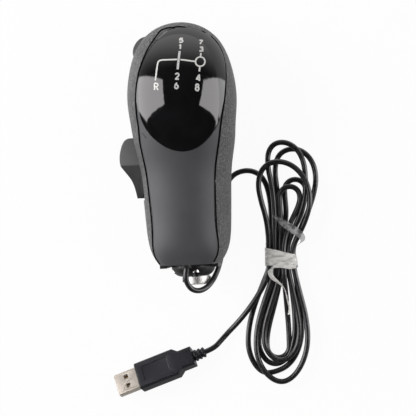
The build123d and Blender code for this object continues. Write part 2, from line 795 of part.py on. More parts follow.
nodes = hank_nodes()
bends = []
with BuildPart() as cord_hank:
    with BuildLine() as hank_path:
        for (start, start_way), (end, end_way) in zip(nodes, nodes[1:]):
            if start_way.get_angle(end - start) < 0.01 and end_way.get_angle(end - start) < 0.01:
                Line(start, end)
                continue
            joint, joint_way = biarc(start, start_way, end, end_way)
            bends.append(add_arc(start, start_way, joint))
            bends.append(add_arc(joint, joint_way, end))
    with BuildSketch(Plane(origin=nodes[0][0], z_dir=nodes[0][1])):
        Circle(cord_radius)
    sweep()
finish(cord_hank, "cord_hank")


def least_gap(edges, step, skip):
    """The least clear gap between turns, measured on points along the cord."""
    points = []
    for edge in edges:
        count = max(2, int(edge.length / step))
        points += [edge.position_at(number / count) for number in range(count)]
    places = [(point.X, point.Y, point.Z) for point in points]
    least = 1e9
    for number, (x, y, z) in enumerate(places):
        for other_x, other_y, other_z in places[number + skip:]:
            if abs(other_x - x) < 6 and abs(other_y - y) < 6:
                least = min(least, hypot(other_x - x, other_y - y, other_z - z))
    return least - 2 * cord_radius


hank_length = sum(edge.length for edge in hank_path.edges())
print("hank length", round(hank_length, 1), "least bend", round(min(bend for bend in bends if bend), 2),
      "least gap", round(least_gap(hank_path.edges(), 1.0, 12), 3),
      "volume share", round(cord_hank.part.volume / (pi * cord_radius**2 * hank_length), 4))

# The tie: flat wraps round the waist and two loose tails.
wrap_high = hank_top + tie_lift + cord_radius + 2 * floor_lift + tie_thickness
wrap_half = inner_lane + tie_pitch * (lanes - 1) + cord_radius + tie_slack + tie_thickness
wrap_round = cord_radius + 2 * tie_thickness
with BuildPart() as tie_wraps:
    for number in (-1, 0, 1):
        wrap_y = tie_y + number * tie_step - tie_width / 2
        with BuildSketch(along_y(tie_x, wrap_y, (wrap_high + floor_lift) / 2)):
            RectangleRounded(2 * wrap_half, wrap_high - floor_lift, wrap_round)
            offset(amount=-tie_thickness, mode=Mode.SUBTRACT)
        extrude(amount=tie_width)
finish(tie_wraps, "tie_wraps")

tail_plane = Plane.XY.offset(wrap_high + floor_lift)
with BuildPart() as tie_tails:
    with BuildSketch(tail_plane):
        with BuildLine():
            Spline(*edge_tail)
        trace(line_width=tie_thickness)
    extrude(amount=tail_width)
    with BuildSketch(tail_plane):
        with BuildLine():
            Spline(*flat_tail)
        trace(line_width=tail_width)
    extrude(amount=tie_thickness)
finish(tie_tails, "tie_tails")

# The plug's pieces.
def plug_plane(along, lift=0.0):
    """A plane across the plug, facing its front, at a distance from the rear of the molding."""
    origin = Vector(*plug_rear, plug_z) + plug_way * along + plug_face * lift
    return Plane(origin=origin, x_dir=plug_across, z_dir=plug_way)


def plug_top(along, lift):
    """A plane level with the plug's face at a height above its middle."""
    origin = Vector(*plug_rear, plug_z) + plug_way * along + plug_face * lift
    return Plane(origin=origin, x_dir=plug_way, z_dir=plug_face)


wide_start = mold_length - mold_front
with BuildPart() as plug_overmold:
    with BuildSketch(plug_plane(wide_start)):
        RectangleRounded(mold_width, mold_height, mold_round)
    extrude(amount=mold_front)
    mold_end = plug_overmold.faces().sort_by(lambda face: face.center().dot(plug_way))[-1]
    chamfer(mold_end.edges(), mold_round / 3)
    for along in (wide_start - mold_step, wide_start):
        with BuildSketch(plug_plane(along)):
            if along == wide_start:
                RectangleRounded(mold_width, mold_height, mold_round)
            else:
                RectangleRounded(mold_tail_width, mold_tail_height, mold_round)
    loft()
    with BuildSketch(plug_plane(0)):
        RectangleRounded(mold_tail_width, mold_tail_height, mold_round)
    extrude(amount=wide_start - mold_step)
    with BuildSketch(plug_top(wide_start + mold_front / 2, mold_height / 2)):
        RectangleRounded(label_length, label_width, 1)
    extrude(amount=-label_depth, mode=Mode.SUBTRACT)
    with BuildSketch(plug_plane(mold_length)):
        Rectangle(shell_width, shell_height)
    extrude(amount=-shell_in, mode=Mode.SUBTRACT)
finish(plug_overmold, "plug_overmold")

with BuildPart() as plug_shell:
    with BuildSketch(plug_plane(mold_length - shell_in)):
        Rectangle(shell_width, shell_height)
        Rectangle(shell_width - 2 * shell_wall, shell_height - 2 * shell_wall, mode=Mode.SUBTRACT)
    extrude(amount=shell_in + shell_out)
    with BuildSketch(plug_top(mold_length + window_inset, -shell_height)):
        with Locations((0, window_spread), (0, -window_spread)):
            Rectangle(window_side, window_side)
    extrude(amount=2 * shell_height, mode=Mode.SUBTRACT)
finish(plug_shell, "plug_shell")

tongue_width = shell_width - 2 * shell_wall
tongue_lift = -(shell_height - tongue_thickness) / 2 + shell_wall
with BuildPart() as plug_tongue:
    with BuildSketch(plug_plane(mold_length - shell_in, tongue_lift)):
        Rectangle(tongue_width, tongue_thickness)
    extrude(amount=shell_in + shell_out - shell_wall)
    with BuildSketch(plug_plane(mold_length - shell_in)):
        Rectangle(tongue_width, shell_height - 2 * shell_wall)
    extrude(amount=shell_in)
finish(plug_tongue, "plug_tongue")

with BuildPart() as plug_contacts:
    with BuildSketch(plug_top(mold_length + shell_out * 0.55, tongue_lift + tongue_thickness / 2)):
        with GridLocations(0, contact_pitch, 1, 4):
            Rectangle(contact_length, contact_width)
    extrude(amount=shell_wall / 2)
finish(plug_contacts, "plug_contacts")

with BuildPart() as plug_relief:
    with BuildSketch(plug_plane(-relief_length)):
        Circle(relief_back)
    with BuildSketch(plug_plane(0)):
        Circle(relief_front)
    loft()
    for number, radius in enumerate(rib_radii):
        middle = -relief_length * (number + 0.6) / len(rib_radii)
        with BuildSketch(plug_plane(middle - rib_width / 2)):
            Circle(radius)
        extrude(amount=rib_width)
finish(plug_relief, "plug_relief")
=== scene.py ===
"""Dresses a truck style gear knob and its USB lead, and lights them as in a product photograph."""

from math import cos, pi, radians, sin

import bmesh
import bpy
from bpy.props import FloatProperty, FloatVectorProperty, IntProperty, PointerProperty
from bpy.types import Operator, Panel, PropertyGroup
from mathutils import Matrix, Vector


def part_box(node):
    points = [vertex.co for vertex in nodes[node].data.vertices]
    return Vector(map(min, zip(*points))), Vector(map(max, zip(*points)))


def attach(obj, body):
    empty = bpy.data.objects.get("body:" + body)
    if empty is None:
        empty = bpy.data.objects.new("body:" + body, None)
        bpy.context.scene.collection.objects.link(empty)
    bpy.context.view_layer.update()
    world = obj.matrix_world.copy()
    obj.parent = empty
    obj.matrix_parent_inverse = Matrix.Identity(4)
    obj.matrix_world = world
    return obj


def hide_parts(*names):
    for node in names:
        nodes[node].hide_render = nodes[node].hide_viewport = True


bl_info = {
    "name": "Gear knob with a USB lead",
    "version": (1, 0, 0),
    "blender": (4, 5, 0),
    "location": "3D View > Sidebar > Gear Knob",
    "description": "Dresses the knob, its foot, its lead and its plug, and sets up the studio",
    "category": "Object",
}

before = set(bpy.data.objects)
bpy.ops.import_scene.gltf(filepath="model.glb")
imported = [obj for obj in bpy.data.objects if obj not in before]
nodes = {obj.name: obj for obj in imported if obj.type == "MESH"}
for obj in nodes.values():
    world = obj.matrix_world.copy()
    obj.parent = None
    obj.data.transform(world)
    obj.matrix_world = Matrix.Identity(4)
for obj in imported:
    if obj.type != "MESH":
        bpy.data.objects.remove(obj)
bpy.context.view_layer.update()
MM = 0.001


class Wire:
    """A number, colour or vector inside a material, so that its maths reads as plain Python."""

    def __init__(self, tree, socket=None):
        self.tree = tree
        self.socket = socket

    def node(self, kind, sockets=None, output=0, **settings):
        """Any node: its settings first, then the values or links of its sockets."""
        made = self.tree.nodes.new(kind)
        for name, value in settings.items():
            setattr(made, name, value)
        for key, value in (sockets or {}).items():
            if isinstance(value, Wire):
                self.tree.links.new(value.socket, made.inputs[key])
            else:
                made.inputs[key].default_value = value
        return Wire(self.tree, made.outputs[output])

    def math(self, operation, *others):
        return self.node("ShaderNodeMath", dict(enumerate((self, *others))), operation=operation)

    def __add__(self, other):
        return self.math("ADD", other)

    __radd__ = __add__

    def __sub__(self, other):
        return self.math("SUBTRACT", other)

    def __rsub__(self, other):
        return self.node("ShaderNodeMath", {0: other, 1: self}, operation="SUBTRACT")

    def __mul__(self, other):
        return self.math("MULTIPLY", other)

    __rmul__ = __mul__

    def __gt__(self, other):
        return self.math("GREATER_THAN", other)

    def __lt__(self, other):
        return self.math("LESS_THAN", other)

    def between(self, low, high):
        """0 below low, 1 above high and a smooth step from one to the other."""
        return self.node("ShaderNodeMapRange", {"Value": self, "From Min": low, "From Max": high},
                         interpolation_type="SMOOTHSTEP")

    def mix(self, first, second):
        """The first colour where this is 0 and the second where it is 1."""
        return self.node("ShaderNodeMix", {0: self, 6: first, 7: second}, output=2, data_type="RGBA")

    def part(self, name):
        """X, Y or Z of a vector."""
        return self.node("ShaderNodeSeparateXYZ", {0: self}, output="XYZ".index(name))

    def noise(self, size, detail=2.0, roughness=0.5, distortion=0.0):
        """Noise whose features are about this many metres across."""
        return self.node("ShaderNodeTexNoise", {"Vector": self, "Scale": 1 / size, "Detail": detail,
                                                "Roughness": roughness, "Distortion": distortion})

    def cells(self, size, feature="F1"):
        """Distances in a pattern of cells that are about this many metres across."""
        return self.node("ShaderNodeTexVoronoi", {"Vector": self, "Scale": 1 / size}, feature=feature)

    def stretch(self, x, y, z):
        """The same places with each axis scaled."""
        return self.node("ShaderNodeMapping", {"Vector": self, "Scale": (x, y, z)})

    def bump(self, strength, distance, over=None):
        """A normal from this height, on the surface's own or on another normal."""
        values = {"Height": self, "Strength": strength, "Distance": distance}
        return self.node("ShaderNodeBump", {**values, "Normal": over} if over else values)

    def beyond(self, normal, soft):
        """1 on the side of a plane through the middle that its normal points away from."""
        across = self.node("ShaderNodeVectorMath", {0: self, 1: Vector(normal).normalized()}, output="Value",
                           operation="DOT_PRODUCT")
        return 1.0 - across.between(-soft, soft)


def colour(red, green, blue):
    """A colour as a screen shows it, from 0 to 255."""
    def linear(value):
        value /= 255
        return value / 12.92 if value <= 0.04045 else ((value + 0.055) / 1.055) ** 2.4
    return (linear(red), linear(green), linear(blue), 1.0)


def shade(value):
    """A grey as a screen shows it."""
    return colour(value, value, value)


def tinted(base, factor, more=0.0):
    """A colour made darker or lighter."""
    return tuple(value * factor + more for value in base[:3]) + (1.0,)


def finish(name, changing, **fixed):
    """A material from what changes over the surface, made by a function of its places, and what doesn't."""
    material = bpy.data.materials.new(name)
    material.use_nodes = True
    tree = material.node_tree
    shader = next(node for node in tree.nodes if node.type == "BSDF_PRINCIPLED")
    for key, value in fixed.items():
        shader.inputs[key.replace("_", " ")].default_value = value
    places = Wire(tree).node("ShaderNodeTexCoord", output="Object")
    for key, value in changing(places).items():
        if isinstance(value, Wire):
            tree.links.new(value.socket, shader.inputs[key])
        else:
            shader.inputs[key].default_value = value
    return material


# The radius of a molding's edges, the reach of the painted shade where another face stands close, and the sizes of
# the clouds in plastic, all in metres.
MOLDED_EDGE = 0.0003
CREVICE_SHADE_REACH = 0.0014
GRAIN_CLOUD = 0.02
SATIN_CLOUD = 0.012


def edged(places, radius=MOLDED_EDGE):
    """Normals that round the edges of a surface by this many metres."""
    return places.node("ShaderNodeBevel", {"Radius": radius}, samples=6)


def shadowed(places, tone):
    """The tone with painted shade: black where another face stands close, in the crevices and joints between
    moldings.
    """
    open_air = places.node("ShaderNodeAmbientOcclusion", {"Distance": CREVICE_SHADE_REACH}, output="AO", samples=8)
    return open_air.between(0.35, 0.8).mix(shade(6), tone)


def grained(base, grain, depth, rough, spread=0.12):
    """Molded plastic with a leather grain of that size and depth, and painted shade where another face stands
    close.
    """
    def make(places):
        cells = places.cells(grain)
        fine = places.noise(grain * 0.7, 3.0, 0.6)
        relief = cells * 0.7 + fine * 0.6
        cloud = places.noise(GRAIN_CLOUD, 3.0).between(0.35, 0.7)
        speck = relief.between(0.35, 0.95)
        dark, light = tinted(base, 1 - 2.2 * spread), tinted(base, 1 + 1.4 * spread)
        tone = (speck * 0.75 + cloud * 0.25).mix(dark, light)
        return {"Base Color": shadowed(places, tone), "Roughness": cloud * 0.08 + rough,
                "Normal": relief.bump(depth, grain * 0.35, edged(places))}
    return make


def satin(base, rough):
    """Smooth molded plastic with faint clouds and handling marks, and painted shade where another face stands
    close.
    """
    def make(places):
        cloud = places.noise(SATIN_CLOUD, 4.0, 0.6)
        fine = places.noise(SATIN_CLOUD * 0.03, 2.0)
        tone = cloud.between(0.3, 0.7).mix(tinted(base, 0.95), tinted(base, 1.05))
        return {"Base Color": shadowed(places, tone),
                "Roughness": cloud.between(0.3, 0.8) * 0.08 + rough,
                "Normal": fine.bump(0.04, SATIN_CLOUD * 0.004, edged(places))}
    return make


def metal(base, rough, along=(1, 1, 1), grain=0.0006, spread=0.12):
    """Metal with fine drawn or turned lines along its long axis and slight tarnish."""
    def make(places):
        lines = places.stretch(*along).noise(grain, 4.0, 0.65)
        cloud = places.noise(0.004, 3.0)
        tone = (lines * 0.5 + cloud * 0.5).between(0.3, 0.7).mix(tinted(base, 1 - spread), base)
        return {"Base Color": tone,
                "Roughness": lines * 0.16 + rough, "Normal": lines.bump(0.12, 0.00004)}
    return make


def dress(material, *names):
    """Gives carried-over solids their finish."""
    for name in names:
        for place in nodes[name].material_slots:
            place.link = "OBJECT"
            place.material = material


def carrier(name, data=None):
    """An object in the scene, with this data or an empty mesh."""
    piece = bpy.data.objects.new(name, data or bpy.data.meshes.new(name))
    bpy.context.scene.collection.objects.link(piece)
    return piece


def settle(name, mesh, material, body="root", instead_of=()):
    """Puts a finished mesh on its body, with its place in its mesh."""
    piece = carrier(name, mesh)
    mesh.materials.clear()
    mesh.materials.append(material)
    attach(piece, body)
    if instead_of:
        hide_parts(*instead_of)
    return piece


def plain_mesh(piece, name):
    """What a piece's modifiers make of it, as a mesh of its own; the piece itself goes."""
    bpy.context.view_layer.update()
    graph = bpy.context.evaluated_depsgraph_get()
    mesh = bpy.data.meshes.new_from_object(piece.evaluated_get(graph), depsgraph=graph)
    mesh.name = name
    data = piece.data
    bpy.data.objects.remove(piece)
    if isinstance(data, bpy.types.Mesh):
        bpy.data.meshes.remove(data)
    return mesh


def smooth(mesh, angle=35):
    """Smooth faces with sharp edges past an angle in degrees."""
    mesh.shade_smooth()
    mesh.set_sharp_from_angle(angle=radians(angle))
    return mesh


def rounded(name, mesh, width, segments=1, angle=30):
    """A mesh with its edges past that angle rounded, as a mesh of its own."""
    piece = carrier(name, mesh)
    bevel = piece.modifiers.new("edges", "BEVEL")
    bevel.limit_method = "ANGLE"
    bevel.angle_limit = radians(angle)
    bevel.width = width
    bevel.segments = segments
    return plain_mesh(piece, name)


def merged_copy(node):
    """A carried-over solid as one closed mesh with flat faces joined up."""
    mesh = nodes[node].data.copy()
    mesh.materials.clear()
    shape = bmesh.new()
    shape.from_mesh(mesh)
    bmesh.ops.remove_doubles(shape, verts=shape.verts, dist=2e-6)
    bmesh.ops.dissolve_limit(shape, angle_limit=radians(0.4), verts=shape.verts, edges=shape.edges)
    shape.to_mesh(mesh)
    shape.free()
    return mesh


def softened(node, name, width, material, body="root", segments=2, angle=32):
    """A copy of a solid whose edges are rounded, in place of the solid."""
    mesh = rounded(name, merged_copy(node), width, segments, angle)
    return settle(name, smooth(mesh, 40), material, body, (node,))


class Pattern:
    """A Geometry Nodes tree, built by a function and used once on one piece."""

    def __init__(self, name, sizes):
        self.tree = bpy.data.node_groups.new(name, "GeometryNodeTree")
        self.sizes = {}
        self.tree.interface.new_socket("Geometry", in_out="INPUT", socket_type="NodeSocketGeometry")
        for label, value in sizes.items():
            kind = "NodeSocketInt" if isinstance(value, int) else "NodeSocketFloat"
            socket = self.tree.interface.new_socket(label, in_out="INPUT", socket_type=kind)
            self.sizes[label] = (socket.identifier, value)
        self.tree.interface.new_socket("Geometry", in_out="OUTPUT", socket_type="NodeSocketGeometry")
        self.start = self.tree.nodes.new("NodeGroupInput")
        self.end = self.tree.nodes.new("NodeGroupOutput")

    def size(self, label):
        """One of the tree's named inputs."""
        return self.start.outputs[label]

    def node(self, kind, sockets=None, **settings):
        """Any node: its settings first, then the values or links of its sockets."""
        made = self.tree.nodes.new(kind)
        for name, value in settings.items():
            setattr(made, name, value)
        for key, value in (sockets or {}).items():
            if isinstance(value, bpy.types.NodeSocket):
                self.tree.links.new(value, made.inputs[key])
            else:
                made.inputs[key].default_value = value
        return made

    def maths(self, operation, first, second):
        return self.node("ShaderNodeMath", {0: first, 1: second}, operation=operation).outputs[0]

    def join(self, parts):
        joined = self.node("GeometryNodeJoinGeometry")
        for part in parts:
            self.tree.links.new(part.outputs[0], joined.inputs[0])
        return joined.outputs[0]

    def close(self, geometry, material):
        """Ends the tree in real geometry with its material."""
        real = self.node("GeometryNodeRealizeInstances", {0: geometry})
        painted = self.node("GeometryNodeSetMaterial", {"Geometry": real.outputs[0], "Material": material})
        self.tree.links.new(painted.outputs[0], self.end.inputs[0])

    def apply(self, piece, name):
        """Runs the tree on a piece and gives back the plain mesh."""
        modifier = piece.modifiers.new(self.tree.name, "NODES")
        modifier.node_group = self.tree
        for identifier, value in self.sizes.values():
            modifier[identifier] = value
        return plain_mesh(piece, name)


def arc(cx, cy, rx, ry, start, end, steps=10):
    """Points on an ellipse's arc, angles in degrees."""
    angles = [radians(start + (end - start) * step / steps) for step in range(steps + 1)]
    return [(cx + rx * cos(angle), cy + ry * sin(angle)) for angle in angles]


GLYPHS = {
    "1": [[(0.12, 0.8), (0.38, 1.0), (0.38, 0.0)]],
    "2": [arc(0.3, 0.72, 0.27, 0.28, 165, -35) + [(0.04, 0.0), (0.6, 0.0)]],
    "3": [arc(0.3, 0.76, 0.26, 0.24, 155, -90) + arc(0.3, 0.27, 0.3, 0.27, 90, -155)],
    "4": [[(0.46, 0.0), (0.46, 1.0), (0.0, 0.28), (0.64, 0.28)]],
    "5": [[(0.56, 1.0), (0.1, 1.0), (0.06, 0.55)] + arc(0.29, 0.33, 0.29, 0.33, 125, -150)],
    "6": [arc(0.3, 0.31, 0.29, 0.31, 0, 360, 18), [(0.03, 0.4), (0.14, 0.72), (0.42, 1.0)]],
    "7": [[(0.0, 1.0), (0.58, 1.0), (0.2, 0.0)]],
    "8": [arc(0.3, 0.77, 0.24, 0.23, 0, 360, 16), arc(0.3, 0.28, 0.29, 0.28, 0, 360, 18)],
    "R": [[(0.0, 0.0), (0.0, 1.0), (0.3, 1.0)] + arc(0.3, 0.74, 0.27, 0.26, 90, -90, 8) + [(0.0, 0.48)],
          [(0.3, 0.48), (0.6, 0.0)]],
}

# Middle, height and width of each sign in millimetres, and the pattern's lines, seen from above.
SIGNS = (
    ("5", 3.86, 57.05, 2.3, 3.1, "bright"), ("1", 3.47, 53.4, 2.4, 2.8, "bright"),
    ("2", 2.1, 37.55, 3.1, 3.3, "worn"), ("6", 1.61, 32.6, 3.1, 3.0, "worn"),
    ("7", 13.93, 55.75, 2.2, 2.7, "bright"), ("3", 14.34, 51.84, 2.3, 2.8, "bright"),
    ("4", 12.94, 36.28, 3.3, 3.1, "bright"), ("8", 12.25, 31.27, 3.3, 2.9, "bright"),
    ("R", -9.25, 32.77, 3.5, 3.2, "bright"),
)
GEAR_LINES = (
    [(-9.67, 36.1), (-8.45, 44.6), (-8.1, 45.9), (-7.2, 46.65), (-5.8, 46.8), (2.2, 46.55)],
    [(3.9, 46.4), (11.3, 45.1)],
    [(14.25, 49.7), (14.12, 47.7)],
    [(13.75, 42.2), (13.5, 39.6)],
)
MAIN_LINE = [(3.41, 51.1), (2.42, 41.2)]
RING = (13.95, 44.95, 2.35, 2.55)
# The height that the print is dropped from, above the whole knob.
PRINT_HEIGHT = 90.0
# Dark lines of painted shade, in millimetres, for the notch at the rim by the cap and the slot in the panel, and
# their widths in metres.
RIM_NOTCH = [(6.2, 65.5), (8.1, 65.4)]
NOTCH_WIDTH = 0.0006
PANEL_SLOT = [(-19.3, 9.4), (-17.1, 6.3)]
SLOT_WIDTH = 0.0008
SIGN_LEAN = radians(-2.0)


def curve_of(name, lines, kind="POLY"):
    """Lines through points in millimetres, as one curve."""
    curve = bpy.data.curves.new(name, "CURVE")
    curve.dimensions = "3D"
    for line in lines:
        spline = curve.splines.new(kind)
        spline.points.add(len(line) - 1)
        for point, (x, y, z) in zip(spline.points, line):
            point.co = (x * MM, y * MM, z * MM, 1.0)
    return curve


def printed(name, lines, width, over, lift, material):
    """Lines that follow the surface of a solid beneath them: lines of ink, and dark lines of painted shade."""
    tree = Pattern(name, {"Line width": width, "Lift": lift, "Step": 0.00025})
    evened = tree.node("GeometryNodeResampleCurve",
                       {"Curve": tree.start.outputs[0], "Length": tree.size("Step")}, mode="LENGTH")
    upright = tree.node("GeometryNodeSetCurveNormal", {"Curve": evened.outputs[0]}, mode="Z_UP")
    half = tree.maths("MULTIPLY", tree.size("Line width"), 0.5)
    near = tree.node("ShaderNodeCombineXYZ", {"X": half})
    far = tree.node("ShaderNodeCombineXYZ", {"X": tree.maths("MULTIPLY", half, -1.0)})
    across = tree.node("GeometryNodeCurvePrimitiveLine", {"Start": far.outputs[0], "End": near.outputs[0]})
    profile = tree.node("GeometryNodeResampleCurve", {"Curve": across.outputs[0], "Count": 5})
    flat = tree.node("GeometryNodeCurveToMesh", {"Curve": upright.outputs[0],
                                                 "Profile Curve": profile.outputs[0]})
    target = tree.node("GeometryNodeObjectInfo", {"Object": over})
    hit = tree.node("GeometryNodeRaycast", {"Target Geometry": target.outputs["Geometry"],
                                            "Ray Direction": (0.0, 0.0, -1.0), "Ray Length": 0.2})
    up = tree.node("ShaderNodeVectorMath", {0: hit.outputs["Hit Normal"], "Scale": tree.size("Lift")},
                   operation="SCALE")
    place = tree.node("ShaderNodeVectorMath", {0: hit.outputs["Hit Position"], 1: up.outputs[0]},
                      operation="ADD")
    laid = tree.node("GeometryNodeSetPosition", {"Geometry": flat.outputs[0], "Position": place.outputs[0]})
    tree.close(laid.outputs[0], material)
    above = [[(x, y, PRINT_HEIGHT) for x, y in line] for line in lines]
    mesh = tree.apply(carrier(name, curve_of(name, above)), name)
    if min(vertex.co.z for vertex in mesh.vertices) < 0.001:
        raise RuntimeError(f"{name} runs past the surface it lies on")
    shape = bmesh.new()
    shape.from_mesh(mesh)
    bmesh.ops.remove_doubles(shape, verts=shape.verts, dist=1e-6)
    for face in shape.faces:
        face.normal_update()
        if face.normal.z < 0:
            face.normal_flip()
    shape.to_mesh(mesh)
    shape.free()
    return settle(name, mesh, material)


def tint(name, description, default):
    """A colour among the settings."""
    return FloatVectorProperty(name=name, description=description, subtype="COLOR", size=4, default=default,
                               min=0, max=1)


def length(name, description, default, low, high):
    """A length among the settings, in metres."""
    return FloatProperty(name=name, description=description, unit="LENGTH", default=default, min=low,
                         max=high)


class KnobColours(PropertyGroup):
    """Colours and grain of the knob's body."""

    shell: tint("Shell", "Colour of the grained back shell", colour(100, 100, 101))
    panel: tint("Panel", "Colour of the satin front panel", colour(78, 78, 81))
    cap: tint("Cap", "Colour of the gloss cap", colour(12, 12, 13))
    ink: tint("Print", "Colour of the printed gear pattern", colour(232, 231, 228))
    rocker: tint("Rockers", "Colour of the paddle and the splitter", colour(90, 90, 91))
    # The joint's width is that of the dark tube laid along the joint as painted shadow in the gap between the
    # shells.
    joint: length("Joint", "Width of the dark line between the shells", 0.0007, 0.0001, 0.003)
    grain: length("Grain", "Size of the shell's grain", 0.0009, 0.0001, 0.002)


class PrintSizes(PropertyGroup):
    """Sizes of the printed gear pattern."""

    line: length("Line", "Width of the thin lines", 0.0008, 0.0003, 0.003)
    main: length("Main line", "Width of the middle line", 0.0012, 0.0003, 0.004)
    sign: length("Signs", "Width of the signs' strokes", 0.00078, 0.0003, 0.003)
    lift: length("Lift", "Height of the ink above the cap", 0.00004, 0.00001, 0.0005)


class LeadSizes(PropertyGroup):
    """Sizes and colours of the lead, its tie and its plug."""

    diameter: length("Diameter", "Thickness of the lead", 0.003, 0.001, 0.01)
    jacket: tint("Jacket", "Colour of the lead's jacket", colour(30, 30, 32))
    film: tint("Tie", "Colour of the tie's film", colour(250, 248, 244))
    band: length("Tie width", "Width of the tie", 0.0034, 0.001, 0.008)
    molding: tint("Molding", "Colour of the plug's molding", colour(26, 27, 32))
    ribs: IntProperty(name="Ribs", description="Number of ribs on the strain relief", default=3, min=1, max=8)


class StudioSettings(PropertyGroup):
    """Floor and lamps."""

    floor: tint("Floor", "Colour of the floor", (0.95, 0.95, 0.95, 1.0))
    key: FloatProperty(name="Key lamp", description="Power of the soft lamp on the left", unit="POWER",
                       default=6.5, min=0, max=1000)
    fill: FloatProperty(name="Fill lamp", description="Power of the soft lamp on the right", unit="POWER",
                        default=1.4, min=0, max=1000)
    room: FloatProperty(name="Room", description="Strength of the light from all round", default=0.4, min=0,
                        max=10)
    left: FloatProperty(name="Left window", description="Strength of the window on the left in the gloss",
                        default=6.8, min=0, max=100)
    right: FloatProperty(name="Right window", description="Strength of the window on the right in the gloss",
                         default=6.2, min=0, max=100)


class KNOB_OT_dress_shells(Operator):
    """Gives the grained back shell and the satin front panel their finishes"""

    bl_idname = "knob.dress_shells"
    bl_label = "Dress the shells"

    def execute(self, context):
        colours = context.scene.knob_colours
        shell = finish("shell_grain", grained(tuple(colours.shell), colours.grain, 1.0, 0.6, 0.34),
                       Specular_IOR_Level=0.35)
        panel = finish("panel_satin", satin(tuple(colours.panel), 0.46), Specular_IOR_Level=0.28)
        dress(shell, "back_shell")
        dress(panel, "front_panel")
        return {"FINISHED"}


# Heights of the joint between the shells along the knob, in millimetres, on its left and on its right.
JOINT_FOOT = ((-72.0, 39.2), (-62.0, 39.3), (-56.0, 39.8), (-46.0, 41.6))
JOINT_LEFT = (*JOINT_FOOT, (-20, 42.2), (-8, 42.9), (3, 44.8), (14, 47.4), (26, 48.9), (40, 49.0), (50, 48.0),
              (58, 45.4), (62, 43.0), (65, 40.4), (75, 40.0))
JOINT_RIGHT = (*JOINT_FOOT, (-28, 42.7), (-7, 43.9), (6, 45.2), (17, 45.5), (26, 44.6), (33, 43.0), (40, 40.6),
               (48, 38.0), (56, 37.0), (62, 38.4), (65, 40.4), (75, 40.0))


def joint_height(side, y):
    """Height of the joint there, on a smooth line through the heights that are given."""
    line = JOINT_LEFT if side < 0 else JOINT_RIGHT
    index = next((number for number in range(1, len(line) - 2) if line[number + 1][0] >= y), len(line) - 3)
    (y0, z0), (y1, z1), (y2, z2), (y3, z3) = line[index - 1:index + 3]
    part = (y - y1) / (y2 - y1)
    start, end = (z2 - z0) / (y2 - y0) * (y2 - y1), (z3 - z1) / (y3 - y1) * (y2 - y1)
    return (z1 * (2 * part ** 3 - 3 * part ** 2 + 1) + start * (part ** 3 - 2 * part ** 2 + part)
            + z2 * (3 * part ** 2 - 2 * part ** 3) + end * (part ** 3 - part ** 2))


def joint_spots():
    """Places along the joint, from the foot on the right round the head to the foot on the left."""
    spots = []
    ways = [(1, y, 0.0) for y in range(-61, 40)]
    ways += [(1 if turn < 90 else -1, 40.0, float(turn)) for turn in range(0, 181, 2)]
    ways += [(-1, y, 180.0) for y in range(39, -62, -1)]
    for side, level, turn in ways:
        out = Vector((cos(radians(turn)), sin(radians(turn)), 0.0))
        y = level + 26.0 * out.y
        for below in (1.0, 0.8, 0.6, 0.15):
            middle = Vector((0.0, level, joint_height(side, y) - below)) * MM
            found, place, normal, _index = nodes["back_shell"].ray_cast(middle + out * 0.08, -out)
            y = place.y / MM if found else y
        if found:
            spots.append(place + normal * 0.00006 + Vector((0, 0, 0.0003)))
    return spots


class KNOB_OT_paint_joint_shadow(Operator):
    """Lays a dark tube along the joint between the two shells, as painted shadow in the gap between them"""

    bl_idname = "knob.trim_joints"
    bl_label = "Trim the joints"

    def execute(self, context):
        curve = curve_of("joint_line", [[spot / MM for spot in joint_spots()]])
        tree = Pattern("joint_line", {"Radius": context.scene.knob_colours.joint / 2})
        ring = tree.node("GeometryNodeCurvePrimitiveCircle", {"Resolution": 10, "Radius": tree.size("Radius")})
        tube = tree.node("GeometryNodeCurveToMesh", {"Curve": tree.start.outputs[0], "Fill Caps": True,
                                                     "Profile Curve": ring.outputs[0]})
        # The tube's near black is painted shadow, standing for the shade in the gap between the shells.
        dark = finish("joint_dark", satin(shade(14), 0.8), Specular_IOR_Level=0.1)
        tree.close(tube.outputs[0], dark)
        mesh = tree.apply(carrier("joint_line", curve), "joint_line")
        settle("joint_line", smooth(mesh, 60), dark)
        return {"FINISHED"}


